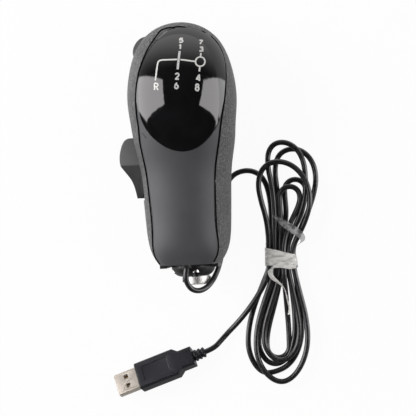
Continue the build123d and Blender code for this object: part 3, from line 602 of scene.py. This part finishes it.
class KNOB_OT_dress_cap(Operator):
    """Polishes the cap, prints the gear pattern on it and lays dark lines of painted shade in the notch at the rim
    and the slot in the panel
    """

    bl_idname = "knob.dress_cap"
    bl_label = "Dress the cap"

    def execute(self, context):
        colours = context.scene.knob_colours
        sizes = context.scene.print_sizes

        def gloss(places):
            smear = places.noise(0.011, 4.0, 0.6)
            return {"Base Color": smear.between(0.3, 0.7).mix(tuple(colours.cap), colour(18, 18, 20)),
                    "Roughness": smear.between(0.4, 0.8) * 0.05 + 0.05,
                    "Normal": places.noise(0.02, 1.0).bump(0.02, 0.0002, edged(places, 0.0004))}

        def inked(dark, bright, rough):
            def look(places):
                worn = places.noise(0.0006, 3.0)
                return {"Base Color": worn.between(0.25, 0.6).mix(dark, bright),
                        "Roughness": worn * 0.2 + rough, "Normal": worn.bump(0.1, 0.00002)}
            return look

        dress(finish("cap_gloss", gloss, IOR=1.5), "gloss_cap")
        white = tuple(colours.ink)
        inks = {"bright": finish("print_white", inked(tinted(white, 0.86), white, 0.3)),
                "worn": finish("print_worn", inked(shade(170), shade(214), 0.35))}
        cap = nodes["gloss_cap"]
        for kind, ink in inks.items():
            lines = []
            for sign, x, y, tall, wide, look in SIGNS:
                for stroke in GLYPHS[sign] if look == kind else ():
                    flat = [((u - 0.3) * wide, (v - 0.5) * tall) for u, v in stroke]
                    lines.append([(x + u * cos(SIGN_LEAN) - v * sin(SIGN_LEAN),
                                   y + u * sin(SIGN_LEAN) + v * cos(SIGN_LEAN)) for u, v in flat])
            printed("print_signs_" + kind, lines, sizes.sign, cap, sizes.lift, ink)
        x, y, wide, tall = RING
        ring = arc(x, y, wide, tall, 0, 360, 32)
        printed("print_lines", list(GEAR_LINES) + [ring], sizes.line, cap, sizes.lift, inks["bright"])
        printed("print_main_line", [MAIN_LINE], sizes.main, cap, sizes.lift, inks["worn"])
        # Dark lines of painted shade stand for the shade in the notch at the rim and in the slot in the panel.
        slot_shade = finish("pit_black", satin(shade(16), 0.5))
        printed("rim_notch", [RIM_NOTCH], NOTCH_WIDTH, nodes["back_shell"], sizes.lift, slot_shade)
        printed("panel_slot", [PANEL_SLOT], SLOT_WIDTH, nodes["front_panel"], sizes.lift, slot_shade)
        return {"FINISHED"}


class KNOB_OT_dress_rockers(Operator):
    """Rounds the edges of the range paddle and the splitter and gives them their finish"""

    bl_idname = "knob.dress_rockers"
    bl_label = "Dress the rockers"

    def execute(self, context):
        base = tuple(context.scene.knob_colours.rocker)

        def facets_with_painted_shade(places):
            below = (places.part("Y") * -1.0).between(0.0068, 0.0076)
            grain = places.cells(0.0004) * 0.7 + places.noise(0.0003, 3.0) * 0.6
            # The lower facet at half the brightness is painted shade, as if it sloped away from the light; its
            # speckled grain and roughness are its own.
            tone = below.mix(base, tinted(base, 0.5))
            return {"Base Color": (grain.between(0.3, 1.0) * below * 0.6).mix(tone, shade(40)),
                    "Roughness": below * 0.12 + 0.5, "Normal": (grain * below).bump(0.5, 0.0001)}

        ridged = finish("rocker_black", facets_with_painted_shade)
        softened("range_paddle", "paddle", 0.0005, ridged, "range_paddle", 3)
        plain = finish("splitter_black", grained(base, 0.0004, 0.4, 0.55))
        softened("splitter_rocker", "splitter", 0.0007, plain, "splitter_rocker", 3)
        return {"FINISHED"}


class KNOB_OT_dress_foot(Operator):
    """Finishes the collar, the shaft sleeve, the screws and the gland at the foot"""

    bl_idname = "knob.dress_foot"
    bl_label = "Dress the foot"

    def execute(self, context):
        steel = finish("screw_steel", metal(colour(190, 188, 184), 0.25), Metallic=1.0)
        turned = metal(colour(206, 205, 202), 0.42, (0.2, 9.0, 0.2), 0.0012)
        aluminium = finish("sleeve_aluminium", turned, Metallic=0.75)
        dress(finish("collar_black", satin(shade(30), 0.42)), "bottom_collar")
        dress(aluminium, "shaft_sleeve")
        dress(finish("block_black", grained(shade(36), 0.0008, 0.3, 0.6)), "sleeve_block")
        dress(steel, "shell_screws", "range_pin", "splitter_pin", "grub_screws", "board_screws", "collar_screws")
        dress(finish("gland_rubber", satin(shade(34), 0.55)), "cord_gland")
        return {"FINISHED"}


# The chip's legs: how many on a side, from one to the next, and their length, width and height.
LEGS = 9
LEG_PITCH = 0.0008
LEG_SIZE = (0.0009, 0.00035, 0.00015)


class KNOB_OT_dress_inside(Operator):
    """Finishes the board and what is soldered to it, and adds the chip's legs"""

    bl_idname = "knob.dress_inside"
    bl_label = "Dress the inside"

    def execute(self, context):
        def mask(places):
            tracks = places.stretch(1, 0.12, 1).cells(0.0016, "DISTANCE_TO_EDGE")
            copper = tracks < 0.16
            cloud = places.noise(0.01, 2.0)
            tone = copper.mix(colour(22, 66, 40), colour(44, 104, 62))
            return {"Base Color": tone, "Roughness": cloud * 0.1 + 0.35, "Normal": copper.bump(0.4, 0.00003)}

        def insulation(places):
            step = places.part("X").math("MULTIPLY", 800.0).math("FRACT")
            tone = (step > 0.5).mix(colour(150, 34, 26), colour(30, 98, 52))
            return {"Base Color": tone, "Roughness": places.noise(0.001) * 0.2 + 0.35}

        dress(finish("board_green", mask), "circuit_board")
        dress(finish("chip_black", grained(shade(26), 0.0003, 0.2, 0.6)), "controller_chip")
        dress(finish("can_steel", metal(colour(196, 194, 190), 0.25), Metallic=1.0), "crystal_can",
              "range_switch_case", "splitter_switch_case")
        dress(finish("socket_ivory", satin(colour(217, 208, 184), 0.45)), "lead_socket")
        dress(finish("switch_black", satin(shade(34), 0.5)), "range_switch_slider", "splitter_switch_slider")
        dress(finish("lead_colours", insulation), "inner_leads")
        dress(finish("tail_rubber", satin(shade(38), 0.5)), "cord_tail")

        low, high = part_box("controller_chip")
        legs = Pattern("chip_legs", {"Legs": LEGS})
        first = -LEG_PITCH * (LEGS - 1) / 2
        row = legs.node("GeometryNodeMeshLine", {"Count": legs.size("Legs"), "Offset": (0.0, LEG_PITCH, 0.0),
                                                 "Start Location": (0.0, first, 0.0)})
        leg = legs.node("GeometryNodeMeshCube", {"Size": LEG_SIZE})
        placed = legs.node("GeometryNodeInstanceOnPoints", {"Points": row.outputs[0], "Instance": leg.outputs[0]})
        middle = ((low[0] + high[0]) / 2, (low[1] + high[1]) / 2, low[2] + 0.0001)
        reach = (high[0] - low[0]) / 2 + 0.00035
        sides = []
        for turn in range(4):
            way = turn * pi / 2
            offset = (middle[0] + reach * cos(way), middle[1] + reach * sin(way), middle[2])
            sides.append(legs.node("GeometryNodeTransform", {"Geometry": placed.outputs[0], "Translation": offset,
                                                             "Rotation": (0.0, 0.0, way)}))
        tin = finish("leg_tin", metal(colour(205, 203, 198), 0.25), Metallic=1.0)
        legs.close(legs.join(sides), tin)
        settle("chip_legs", legs.apply(carrier("chip_legs"), "chip_legs"), tin)
        return {"FINISHED"}


# The lead's route, in millimetres: to the hank, through it and on to the plug.
FLOOR = 1.55
TOP = 5.1
HIGH = 8.6
EXIT_ROUTE = (
    (-0.8, -64.0, 35.2), (-1.5, -68.0, 35.1), (-1.2, -71.9, 34.4), (0.8, -75.5, 32.6), (4.4, -76.9, 30.2),
    (8.4, -75.4, 26.6), (11.4, -71.5, 21.2), (12.7, -67.8, 14.4), (13.4, -64.6, 9.0), (14.6, -59.5, 6.2),
    (16.4, -50.5, 4.1), (17.4, -40.0, 2.1), (17.9, -28.5, FLOOR), (18.8, -19.1, FLOOR),
    (23.3, -13.8, FLOOR), (29.9, -12.0, FLOOR), (35.6, -13.4, FLOOR), (39.4, -16.8, FLOOR),
    (42.0, -23.4, FLOOR), (43.2, -34.0, FLOOR), (42.4, -46.0, FLOOR),
)
LEAD_ROUTE = (
    (38.9, -73.8, 5.3), (34.4, -81.0, TOP), (29.8, -87.4, TOP), (25.4, -92.6, 4.6), (20.8, -97.4, 3.2),
    (16.2, -101.7, 2.7), (11.9, -106.2, 4.2), (8.2, -110.0, 6.3), (3.2, -111.78, 6.49),
)
TIE = (47.6, -61.0)
TURNS = 5
WAIST_PITCH = 3.25
WAIST_LIFT = 0.5
WAIST_TOP = 8.25
# Where each turn passes the waist, in pitches from its middle: down its left side and up its right side.
LEFT_LANES = (-2, -1, 0, 0, -1, -2)
RIGHT_LANES = (2, 1, 0.5, 1, 2)
# Each turn below the waist, from its left to its right.
FOOT_TURNS = (
    ((36.6, -75.5), (31.0, -88.0), (27.6, -99.5), (26.6, -110.5), (29.3, -119.5), (34.5, -125.2),
     (41.0, -124.8), (48.5, -121.7), (54.2, -114.5), (57.2, -104.0), (57.4, -92.0), (55.8, -78.0)),
    ((41.4, -77.0), (37.2, -88.5), (34.0, -98.5), (32.4, -108.0), (34.0, -114.6), (37.6, -119.4),
     (43.0, -120.6), (48.0, -117.6), (51.4, -111.4), (53.4, -103.0), (53.6, -92.0), (52.6, -79.0)),
    ((45.6, -77.0), (42.2, -88.5), (39.0, -98.5), (37.3, -106.5), (37.4, -113.2), (41.0, -116.8),
     (46.1, -116.8), (49.6, -113.2), (49.8, -107.4), (49.8, -100.0), (49.6, -93.0, 2.0),
     (49.4, -85.0, 3.6), (49.3, -79.0, 5.6), (49.2, -73.0, 7.8)),
    ((44.6, -77.0), (40.4, -88.5), (36.9, -98.5), (36.0, -107.5), (38.0, -113.6), (42.6, -118.2),
     (48.8, -117.8), (54.4, -111.5), (56.4, -102.0), (55.4, -91.0), (53.2, -79.0)),
    ((41.0, -76.0), (36.0, -88.5), (32.6, -99.5), (31.4, -110.5), (33.0, -119.5), (38.0, -127.2),
     (44.8, -130.6), (51.6, -127.6), (57.4, -119.5), (60.6, -108.5), (60.2, -95.0), (57.0, -80.5)),
)
FOOT_HEIGHTS = (FLOOR, FLOOR, FLOOR, TOP, TOP)
# Each turn above the waist, from its right back to the left of the next one.
HEAD_TURNS = (
    ((58.6, -46.5), (63.4, -37.0), (67.4, -26.5), (69.0, -17.5), (67.2, -8.6), (61.8, -2.6), (54.8, -1.2),
     (48.6, -4.2), (46.0, -11.5), (46.8, -23.0), (47.9, -35.0), (46.5, -47.0)),
    ((54.6, -46.5), (59.6, -38.5), (62.6, -27.6), (62.75, -22.0), (59.3, -18.6), (54.5, -18.6),
     (51.05, -22.0), (51.0, -27.6), (51.5, -37.0), (49.8, -47.0)),
    ((51.4, -47.5, 7.4), (54.6, -41.0, 5.6), (59.6, -31.4), (59.6, -25.7), (56.3, -22.4), (51.7, -22.4),
     (48.4, -25.7), (48.3, -31.0), (48.5, -44.0)),
    ((55.0, -47.0), (59.3, -38.5), (62.4, -29.5), (63.3, -19.5), (62.8, -9.5), (59.6, -2.0), (53.8, 2.2),
     (47.2, 2.2), (43.0, -2.6), (42.6, -11.5), (44.6, -22.0), (45.3, -34.0), (44.9, -46.0)),
    ((58.6, -48.5, 6.8), (62.8, -40.5, 8.3), (65.6, -31.5), (64.6, -21.6), (59.8, -13.4), (53.0, -8.8),
     (45.4, -8.2), (39.4, -12.0), (37.0, -20.0), (38.2, -29.0), (40.6, -38.5, 7.8), (41.4, -48.0, 6.4)),
)
HEAD_HEIGHTS = (FLOOR, FLOOR, TOP, TOP, HIGH)


def hank_route():
    """The turns of the hank: down the left of the tie, round below, up its right and round above."""
    route = []
    for turn in range(TURNS + 1):
        left = TIE[0] + WAIST_PITCH * LEFT_LANES[turn]
        height = (TOP if turn > 2 else FLOOR) + WAIST_LIFT
        route += [(left, TIE[1] + 5.0, height), (left, TIE[1] - 5.0, height)]
        if turn == TURNS:
            break
        route += [(*spot, FOOT_HEIGHTS[turn])[:3] for spot in FOOT_TURNS[turn]]
        right = TIE[0] + WAIST_PITCH * RIGHT_LANES[turn]
        height = WAIST_TOP if turn == 2 else height
        route += [(right, TIE[1] - 5.0, height), (right, TIE[1] + 5.0, height)]
        route += [(*spot, HEAD_HEIGHTS[turn])[:3] for spot in HEAD_TURNS[turn]]
    return route


def smooth_line(name, points):
    """One NURBS spline with these points, in millimetres, as its control points."""
    curve = curve_of(name, [points], "NURBS")
    spline = curve.splines[0]
    spline.order_u = 3
    spline.use_endpoint_u = True
    spline.resolution_u = 8
    return curve


def line_length(curve):
    """The length of a curve's own line."""
    bare = curve.copy()
    bare.bevel_depth = 0
    holder = carrier("measure", bare)
    bpy.context.view_layer.update()
    graph = bpy.context.evaluated_depsgraph_get()
    mesh = bpy.data.meshes.new_from_object(holder.evaluated_get(graph), depsgraph=graph)
    points = [vertex.co.copy() for vertex in mesh.vertices]
    bpy.data.objects.remove(holder)
    bpy.data.meshes.remove(mesh)
    bpy.data.curves.remove(bare)
    return sum((b - a).length for a, b in zip(points, points[1:]))


class KNOB_OT_lay_lead(Operator):
    """Lays the lead from the foot through the hank to the plug"""

    bl_idname = "knob.lay_lead"
    bl_label = "Lay the lead"

    def execute(self, context):
        sizes = context.scene.lead_sizes
        jacket = tuple(sizes.jacket)

        def rubber(places):
            scuff = places.noise(0.003, 4.0, 0.6)
            fine = places.noise(0.0003, 2.0)
            return {"Base Color": scuff.between(0.4, 0.75).mix(jacket, tinted(jacket, 1.5, 0.004)),
                    "Roughness": scuff * 0.12 + 0.24, "Normal": fine.bump(0.06, 0.00003)}

        curve = smooth_line("lead", list(EXIT_ROUTE) + hank_route() + list(LEAD_ROUTE))
        curve.bevel_depth = sizes.diameter / 2
        curve.bevel_resolution = 5
        curve.use_fill_caps = True
        lead = carrier("lead", curve)
        curve.materials.append(finish("cord_rubber", rubber))
        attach(lead, "root")
        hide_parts("cord_exit", "cord_hank", "cord_lead")
        laid = line_length(curve)
        print("lead length", round(laid, 4))
        return {"FINISHED"}


def ribbon(name, middle_line, across, half_width, thickness, material):
    """A flat band along a line of points, with the direction across it at each point."""
    shape = bmesh.new()
    rows = []
    for number, (place, side) in enumerate(zip(middle_line, across)):
        ahead = middle_line[min(number + 1, len(middle_line) - 1)] - middle_line[max(number - 1, 0)]
        normal = ahead.cross(side).normalized() * thickness / 2
        half = side.normalized() * (half_width[number] if isinstance(half_width, list) else half_width)
        rows.append([shape.verts.new(place + move) for move in (half + normal, half - normal, -half - normal,
                                                               -half + normal)])
    for first, second in zip(rows, rows[1:]):
        for number in range(4):
            after = (number + 1) % 4
            shape.faces.new((first[number], first[after], second[after], second[number]))
    shape.faces.new(rows[0][::-1])
    shape.faces.new(rows[-1])
    bmesh.ops.recalc_face_normals(shape, faces=shape.faces)
    mesh = bpy.data.meshes.new(name)
    shape.to_mesh(mesh)
    shape.free()
    return settle(name, smooth(rounded(name, mesh, thickness * 0.3, angle=50), 50), material)


# The tie's band: how far it reaches from the middle of the waist, its lowest and highest places, its turns, the
# angle that it starts from, and the steps in a turn.
BAND_REACH = WAIST_PITCH * 2 + 1.9
BAND_LOW, BAND_HIGH = 0.4, 10.1
BAND_TURNS = 3.3
BAND_START = radians(215)
BAND_STEPS = 44
BAND_GROWTH = 0.014
FILM_THICKNESS = 0.00022
TAIL_THICKNESS = 0.0002
# Each tail's places, the direction across it and its width there, in millimetres.
FRONT_TAIL = (
    (56.0, -65.4, 7.4, 0, 1, 0.1, 3.8), (52.6, -65.8, 10.3, 0, 1, 0.1, 3.8), (47.6, -64.9, 10.7, 0.1, 1, 0, 3.6),
    (43.4, -65.9, 10.2, 0.7, 0.8, 0.1, 3.4), (41.8, -68.8, 9.4, 1, 0, 0.3, 3.2),
    (42.8, -72.0, 9.0, 0.9, 0.5, 0.6, 2.8), (46.2, -75.1, 8.8, 0.3, 0.7, 1, 2.4),
    (49.0, -78.6, 8.4, 0.2, 0.2, 1, 2.2), (50.4, -84.6, 8.2, 0.4, 0.1, 1, 2.2),
    (51.3, -89.4, 8.2, 0.5, 0.1, 1, 2.2), (50.7, -92.8, 8.1, 1, 0.2, 0.6, 1.4),
)
BACK_TAIL = (
    (57.4, -54.6, 3.6, 0.8, 0.6, 0, 2.4), (60.2, -52.6, 7.6, 0.9, 0.4, 0.2, 2.8),
    (59.8, -49.8, 10.2, 0.7, 0.6, 0.3, 3.8), (55.8, -46.2, 10.7, 0.5, 0.9, 0.2, 4.6),
    (50.6, -42.6, 10.7, 0.4, 1, 0.3, 4.2), (44.6, -37.8, 10.2, 0.4, 0.8, 1, 1.2),
)


class KNOB_OT_wrap_tie(Operator):
    """Winds the tie's film round the hank's waist and leaves its two tails loose"""

    bl_idname = "knob.wrap_tie"
    bl_label = "Wrap the tie"

    def execute(self, context):
        sizes = context.scene.lead_sizes
        base = tuple(sizes.film)

        def film(pull, fold, tones, tone_span, cover, cover_span):
            def look(places):
                crease = places.stretch(*pull).noise(fold, 3.0, 0.55, 0.4)
                least, more = cover
                return {"Base Color": crease.between(*tone_span).mix(*tones), "Roughness": crease * 0.2 + 0.2,
                        "Alpha": crease.between(*cover_span) * more + least, "Normal": crease.bump(0.35, 0.00025)}
            return look

        creased = film((0.3, 1.0, 0.6), 0.0014, (tinted(base, 0.62), base), (0.3, 0.6), (0.9, 0.1), (0.25, 0.6))
        misty = film((0.5, 0.5, 1.0), 0.0016, (shade(120), shade(205)), (0.35, 0.65), (0.3, 0.35), (0.3, 0.7))
        clear = finish("tie_clear", creased, IOR=1.45)
        thin = finish("tie_thin", misty, IOR=1.45)
        middle_z, half_z = (BAND_LOW + BAND_HIGH) / 2, (BAND_HIGH - BAND_LOW) / 2
        points, across = [], []
        for step in range(int(BAND_STEPS * BAND_TURNS) + 1):
            turn = step / BAND_STEPS
            angle = 2 * pi * turn + BAND_START
            # The band lies flat on the floor's side and bulges over the cords.
            flat = 3.2 if sin(angle) > 0 else 8.0
            reach = (abs(cos(angle)) ** flat + abs(sin(angle)) ** flat) ** (-1 / flat)
            grow = 1 + BAND_GROWTH * turn
            side = 0.5 + 0.5 * cos(angle)
            x = TIE[0] + BAND_REACH * grow * reach * cos(angle)
            z = middle_z + half_z * min(grow, 1.0) * reach * sin(angle)
            y = TIE[1] + (7.0 - 3.4 * turn) * (1 - side) + (-0.4 - 1.3 * turn) * side
            points.append(Vector((x, y, z)) * MM)
            across.append(Vector((0.45 * side * sin(angle), 1.0, 0.0)))
        ribbon("tie_band", points, across, sizes.band / 2, FILM_THICKNESS, clear)

        def tail(name, rows, material):
            line = [Vector(row[:3]) * MM for row in rows]
            dense, ways, wide = [], [], []
            for number in range((len(line) - 1) * 8 + 1):
                index, part = min(number // 8, len(line) - 2), number / 8 - min(number // 8, len(line) - 2)
                before = line[max(index - 1, 0)]
                after = line[min(index + 2, len(line) - 1)]
                a, b = line[index], line[index + 1]
                dense.append(0.5 * (2 * a + (b - before) * part + (2 * before - 5 * a + 4 * b - after) * part ** 2
                                    + (3 * a - before - 3 * b + after) * part ** 3))
                ways.append(Vector(rows[index][3:6]).lerp(Vector(rows[index + 1][3:6]), part))
                wide.append((rows[index][6] * (1 - part) + rows[index + 1][6] * part) * MM / 2)
            ribbon(name, dense, ways, wide, TAIL_THICKNESS, material)

        tail("tie_end_front", FRONT_TAIL, clear)
        tail("tie_end_back", BACK_TAIL, thin)
        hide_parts("tie_wraps")
        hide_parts("tie_tails")
        return {"FINISHED"}


# The plug's frame, as in the solids: rolled about its own axis, in millimetres from the rear of the molding.
PLUG_REAR = Vector((-3.4, -114.1, 6.488))
PLUG_HEADING, PLUG_ROLL = radians(19.4), radians(25)
PLUG_WAY = Vector((-cos(PLUG_HEADING), -sin(PLUG_HEADING), 0))
PLUG_SIDE = Vector((-sin(PLUG_HEADING), cos(PLUG_HEADING), 0))
PLUG_FACE = Vector((0, 0, cos(PLUG_ROLL))) + PLUG_SIDE * sin(PLUG_ROLL)
PLUG_TURN = Matrix((PLUG_WAY, PLUG_WAY.cross(PLUG_FACE), PLUG_FACE)).transposed().to_4x4()
PLUG_MATRIX = Matrix.Translation(PLUG_REAR * MM) @ PLUG_TURN

# The strain relief, in metres: its core's length and end radii, its ribs' radius, width, pitch and first place, and
# how much smaller each rib is than the one before.
RELIEF_LENGTH = 0.007
RELIEF_BASE, RELIEF_TIP = 0.0029, 0.0022
RIB_RADIUS = 0.0031
RIB_WIDTH = 0.0012
RIB_PITCH = 0.0023
RIB_FIRST = 0.0015
RIB_TAPER = 0.06


class KNOB_OT_dress_plug(Operator):
    """Rounds the plug's molding, ribs its strain relief and finishes its metal case"""

    bl_idname = "knob.dress_plug"
    bl_label = "Dress the plug"

    def execute(self, context):
        sizes = context.scene.lead_sizes
        base = tuple(sizes.molding)
        mold = finish("mold_black", grained(base, 0.00035, 0.18, 0.5, 0.06), Specular_IOR_Level=0.35)
        softened("plug_overmold", "plug_molding", 0.00045, mold, segments=3, angle=20)
        nickel = metal(colour(190, 182, 172), 0.45, grain=0.0009, spread=0.06)
        plated = finish("plug_metal", nickel, Metallic=0.5)
        softened("plug_shell", "plug_case", 0.00012, plated)

        def plain_white(places):
            cloud = places.noise(0.004, 3.0)
            return {"Base Color": cloud.between(0.3, 0.7).mix(colour(226, 224, 217), colour(240, 238, 232)),
                    "Roughness": cloud * 0.1 + 0.45}

        dress(finish("tongue_white", plain_white), "plug_tongue")
        dress(finish("contact_gold", metal(colour(224, 186, 96), 0.22), Metallic=1.0), "plug_contacts")

        ribs = Pattern("relief_ribs", {"Ribs": sizes.ribs, "Rib": RIB_RADIUS, "Rib width": RIB_WIDTH})
        core = ribs.node("GeometryNodeMeshCone", {"Vertices": 40, "Radius Top": RELIEF_TIP, "Side Segments": 1,
                                                  "Radius Bottom": RELIEF_BASE, "Depth": RELIEF_LENGTH})
        rib = ribs.node("GeometryNodeMeshCylinder", {"Vertices": 40, "Radius": ribs.size("Rib"),
                                                     "Depth": ribs.size("Rib width")})
        row = ribs.node("GeometryNodeMeshLine", {"Count": ribs.size("Ribs"), "Start Location": (0, 0, RIB_FIRST),
                                                 "Offset": (0, 0, RIB_PITCH)})
        order = ribs.node("GeometryNodeInputIndex")
        shrink = ribs.maths("MULTIPLY_ADD", order.outputs[0], -RIB_TAPER)
        shrink.node.inputs[2].default_value = 1 + RIB_TAPER
        grow = ribs.node("ShaderNodeCombineXYZ", {"X": shrink, "Y": shrink, "Z": 1.0})
        rings = ribs.node("GeometryNodeInstanceOnPoints", {"Points": row.outputs[0], "Instance": rib.outputs[0],
                                                           "Scale": grow.outputs[0]})
        ribs.close(ribs.join((core, rings)), mold)
        mesh = ribs.apply(carrier("plug_ribs"), "plug_ribs")
        mesh.transform(PLUG_MATRIX @ Matrix.Rotation(-pi / 2, 4, "Y"))
        mesh = rounded("plug_ribs", mesh, 0.00025, 3)
        settle("plug_ribs", smooth(mesh, 40), mold, instead_of=("plug_relief",))
        return {"FINISHED"}


# What the gloss shows: a window on the left and one on the right, each inside planes through the middle of the
# room, and how each of them goes on below the horizon, where the floor is seen.
STUDIO_BOXES = (
    ((0.315, 0.919, -0.24), (0.885, 0.13, 0.44), (0.26, -0.955, 0.145), (0.064, -0.861, -0.505),
     (0.039, -0.063, -0.997)),
    ((-0.291, 0.946, -0.144), (-0.104, -0.557, -0.824), (-0.244, -0.96, 0.143), (-0.65, 0.478, 0.585)),
)
FLOOR_BOXES = (
    ((0.315, 0.919, -0.24), (0.074, -0.997, 0.0), (0.51, 0.0, -0.86), (0.0, 0.0, 1.0)),
    ((-0.291, 0.946, -0.144), (-0.19, -0.98, 0.0), (-0.51, 0.0, -0.86), (0.0, 0.0, 1.0)),
)
# The camera of the photograph.
CAMERA_TILT = 7.5
CAMERA_ROLL = 2.65
CAMERA_AIM = Vector((11.2, -32.15, 27.0))
CAMERA_FAR = 870.0
CAMERA_LENS = 36 * 1606 / 416

# How the floor shines in the gloss, against the windows, and how white it is to the camera.
FLOOR_SHINE = 0.65
FLOOR_WHITE = 0.94
# The glow towards the head and the rest of the light in the gloss, in the room and in the floor.
ROOM_GLOW, ROOM_REST = 2.2, 0.04
FLOOR_GLOW, FLOOR_REST = 0.8, 0.6


def seen_in_gloss(way, boxes, strengths, wall, rest):
    """How bright the room is in a direction: its windows, a glow towards the head of the knob and the rest."""
    level = (1.0 - (way.part("Z") - way.part("Y") * 1.76).between(-1.9, -0.2)) * wall + rest
    for sides, strength in zip(boxes, strengths):
        box = way.beyond(sides[0], 0.012)
        for side in sides[1:]:
            box = box * way.beyond(side, 0.012)
        level = level + box * strength
    return level


def lamp(name, place, aim, width, height, power, tint=(1.0, 1.0, 1.0)):
    """A soft rectangular lamp that looks at a point."""
    data = bpy.data.lights.new(name, "AREA")
    data.shape = "RECTANGLE"
    data.size = width
    data.size_y = height
    data.energy = power
    data.color = tint
    made = carrier(name, data)
    made.visible_glossy = False
    way = Vector(aim) - Vector(place)
    made.matrix_world = Matrix.Translation(Vector(place)) @ way.to_track_quat("-Z", "Y").to_matrix().to_4x4()
    return made


class KNOB_OT_set_stage(Operator):
    """Sets the camera, the floor, the lamps and the world"""

    bl_idname = "knob.set_stage"
    bl_label = "Set the stage"

    def execute(self, context):
        scene = context.scene
        settings = scene.studio_settings
        scene.view_settings.view_transform = "Standard"
        tilt, roll = radians(CAMERA_TILT), radians(CAMERA_ROLL)
        back = Vector((sin(tilt), 0, cos(tilt)))
        level = Vector((cos(tilt), 0, -sin(tilt)))
        ahead = Vector((0, 1, 0))
        right = level * cos(roll) - ahead * sin(roll)
        up = level * sin(roll) + ahead * cos(roll)
        data = bpy.data.cameras.new("camera")
        data.sensor_width = 36
        data.lens = CAMERA_LENS
        data.clip_start = 0.01
        camera = carrier("camera", data)
        turn = Matrix((right, up, back)).transposed().to_4x4()
        camera.matrix_world = Matrix.Translation((CAMERA_AIM + back * CAMERA_FAR) * MM) @ turn
        scene.camera = camera

        def rays(tree):
            path = tree.nodes.new("ShaderNodeLightPath")
            names = ("Is Camera Ray", "Is Glossy Ray", "Is Transmission Ray")
            return [Wire(tree, path.outputs[name]) for name in names]

        floor_mesh = bpy.data.meshes.new("floor")
        floor_mesh.from_pydata([(-3, -3, 0), (3, -3, 0), (3, 3, 0), (-3, 3, 0)], [], [(0, 1, 2, 3)])
        floor = carrier("floor", floor_mesh)
        paper = bpy.data.materials.new("floor_paper")
        paper.use_nodes = True
        tree = paper.node_tree
        tree.nodes.clear()
        start = Wire(tree)
        diffuse = start.node("ShaderNodeBsdfDiffuse", {"Color": tuple(settings.floor)})
        glow = start.node("ShaderNodeEmission", {"Color": (1, 1, 1, 1), "Strength": 1.0})
        direct, glossy, through = rays(tree)
        factor = (direct + through).math("MINIMUM", 1.0) * FLOOR_WHITE
        matt = start.node("ShaderNodeMixShader", {0: factor, 1: diffuse, 2: glow})
        incoming = start.node("ShaderNodeNewGeometry", output="Incoming")
        way = incoming.node("ShaderNodeVectorMath", {0: incoming, "Scale": -1.0}, operation="SCALE")
        strengths = (settings.left * FLOOR_SHINE, settings.right * FLOOR_SHINE)
        level = seen_in_gloss(way, FLOOR_BOXES, strengths, FLOOR_GLOW, FLOOR_REST)
        shine = start.node("ShaderNodeEmission", {"Color": (1, 1, 1, 1), "Strength": level})
        mixed = start.node("ShaderNodeMixShader", {0: glossy, 1: matt, 2: shine})
        out = tree.nodes.new("ShaderNodeOutputMaterial")
        tree.links.new(mixed.socket, out.inputs[0])
        floor_mesh.materials.append(paper)

        world = bpy.data.worlds.new("studio")
        scene.world = world
        world.use_nodes = True
        tree = world.node_tree
        tree.nodes.clear()
        direct, glossy, through = rays(tree)
        start = Wire(tree)
        way = start.node("ShaderNodeTexCoord", output=0)
        level = seen_in_gloss(way, STUDIO_BOXES, (settings.left, settings.right), ROOM_GLOW, ROOM_REST)
        studio = start.node("ShaderNodeBackground", {"Color": (1.0, 0.97, 0.985, 1.0), "Strength": level})
        white = start.node("ShaderNodeBackground", {"Color": (1, 1, 1, 1), "Strength": 1.0})
        soft = start.node("ShaderNodeBackground", {"Color": (1, 1, 1, 1), "Strength": settings.room})
        indoors = start.node("ShaderNodeMixShader", {0: glossy, 1: soft, 2: studio})
        seen = (direct + through).math("MINIMUM", 1.0)
        chosen = start.node("ShaderNodeMixShader", {0: seen, 1: indoors, 2: white})
        out = tree.nodes.new("ShaderNodeOutputWorld")
        tree.links.new(chosen.socket, out.inputs[0])

        lamp("key", (-0.75, 0.2, 0.62), (0.0, 0.0, 0.02), 0.5, 0.5, settings.key, (1.0, 0.99, 0.98))
        lamp("fill", (0.75, 0.0, 0.62), (0.0, 0.0, 0.02), 0.5, 0.5, settings.fill)
        return {"FINISHED"}


OPERATORS = (KNOB_OT_dress_shells, KNOB_OT_paint_joint_shadow, KNOB_OT_dress_cap, KNOB_OT_dress_rockers,
             KNOB_OT_dress_foot, KNOB_OT_dress_inside, KNOB_OT_wrap_tie, KNOB_OT_dress_plug, KNOB_OT_lay_lead,
             KNOB_OT_set_stage)
GROUPS = (("knob_colours", KnobColours), ("print_sizes", PrintSizes), ("lead_sizes", LeadSizes),
          ("studio_settings", StudioSettings))


class KNOB_PT_tools(Panel):
    """Lists the steps and the sizes they use"""

    bl_label = "Gear Knob"
    bl_idname = "KNOB_PT_tools"
    bl_space_type = "VIEW_3D"
    bl_region_type = "UI"
    bl_category = "Gear Knob"

    def draw(self, context):
        for name, group in GROUPS:
            box = self.layout.box()
            for label in group.__annotations__:
                box.prop(getattr(context.scene, name), label)
        for operator in OPERATORS:
            self.layout.operator(operator.bl_idname)


def register():
    for name, group in GROUPS:
        bpy.utils.register_class(group)
        setattr(bpy.types.Scene, name, PointerProperty(type=group))
    for operator in OPERATORS:
        bpy.utils.register_class(operator)
    bpy.utils.register_class(KNOB_PT_tools)


def unregister():
    bpy.utils.unregister_class(KNOB_PT_tools)
    for operator in reversed(OPERATORS):
        bpy.utils.unregister_class(operator)
    for name, group in reversed(GROUPS):
        delattr(bpy.types.Scene, name)
        bpy.utils.unregister_class(group)


def main():
    register()
    bpy.ops.knob.dress_shells()
    bpy.ops.knob.trim_joints()
    bpy.ops.knob.dress_cap()
    bpy.ops.knob.dress_rockers()
    bpy.ops.knob.dress_foot()
    bpy.ops.knob.dress_inside()
    bpy.ops.knob.wrap_tie()
    bpy.ops.knob.dress_plug()
    bpy.ops.knob.lay_lead()
    bpy.ops.knob.set_stage()
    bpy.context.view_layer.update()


if __name__ == "__main__":
    main()
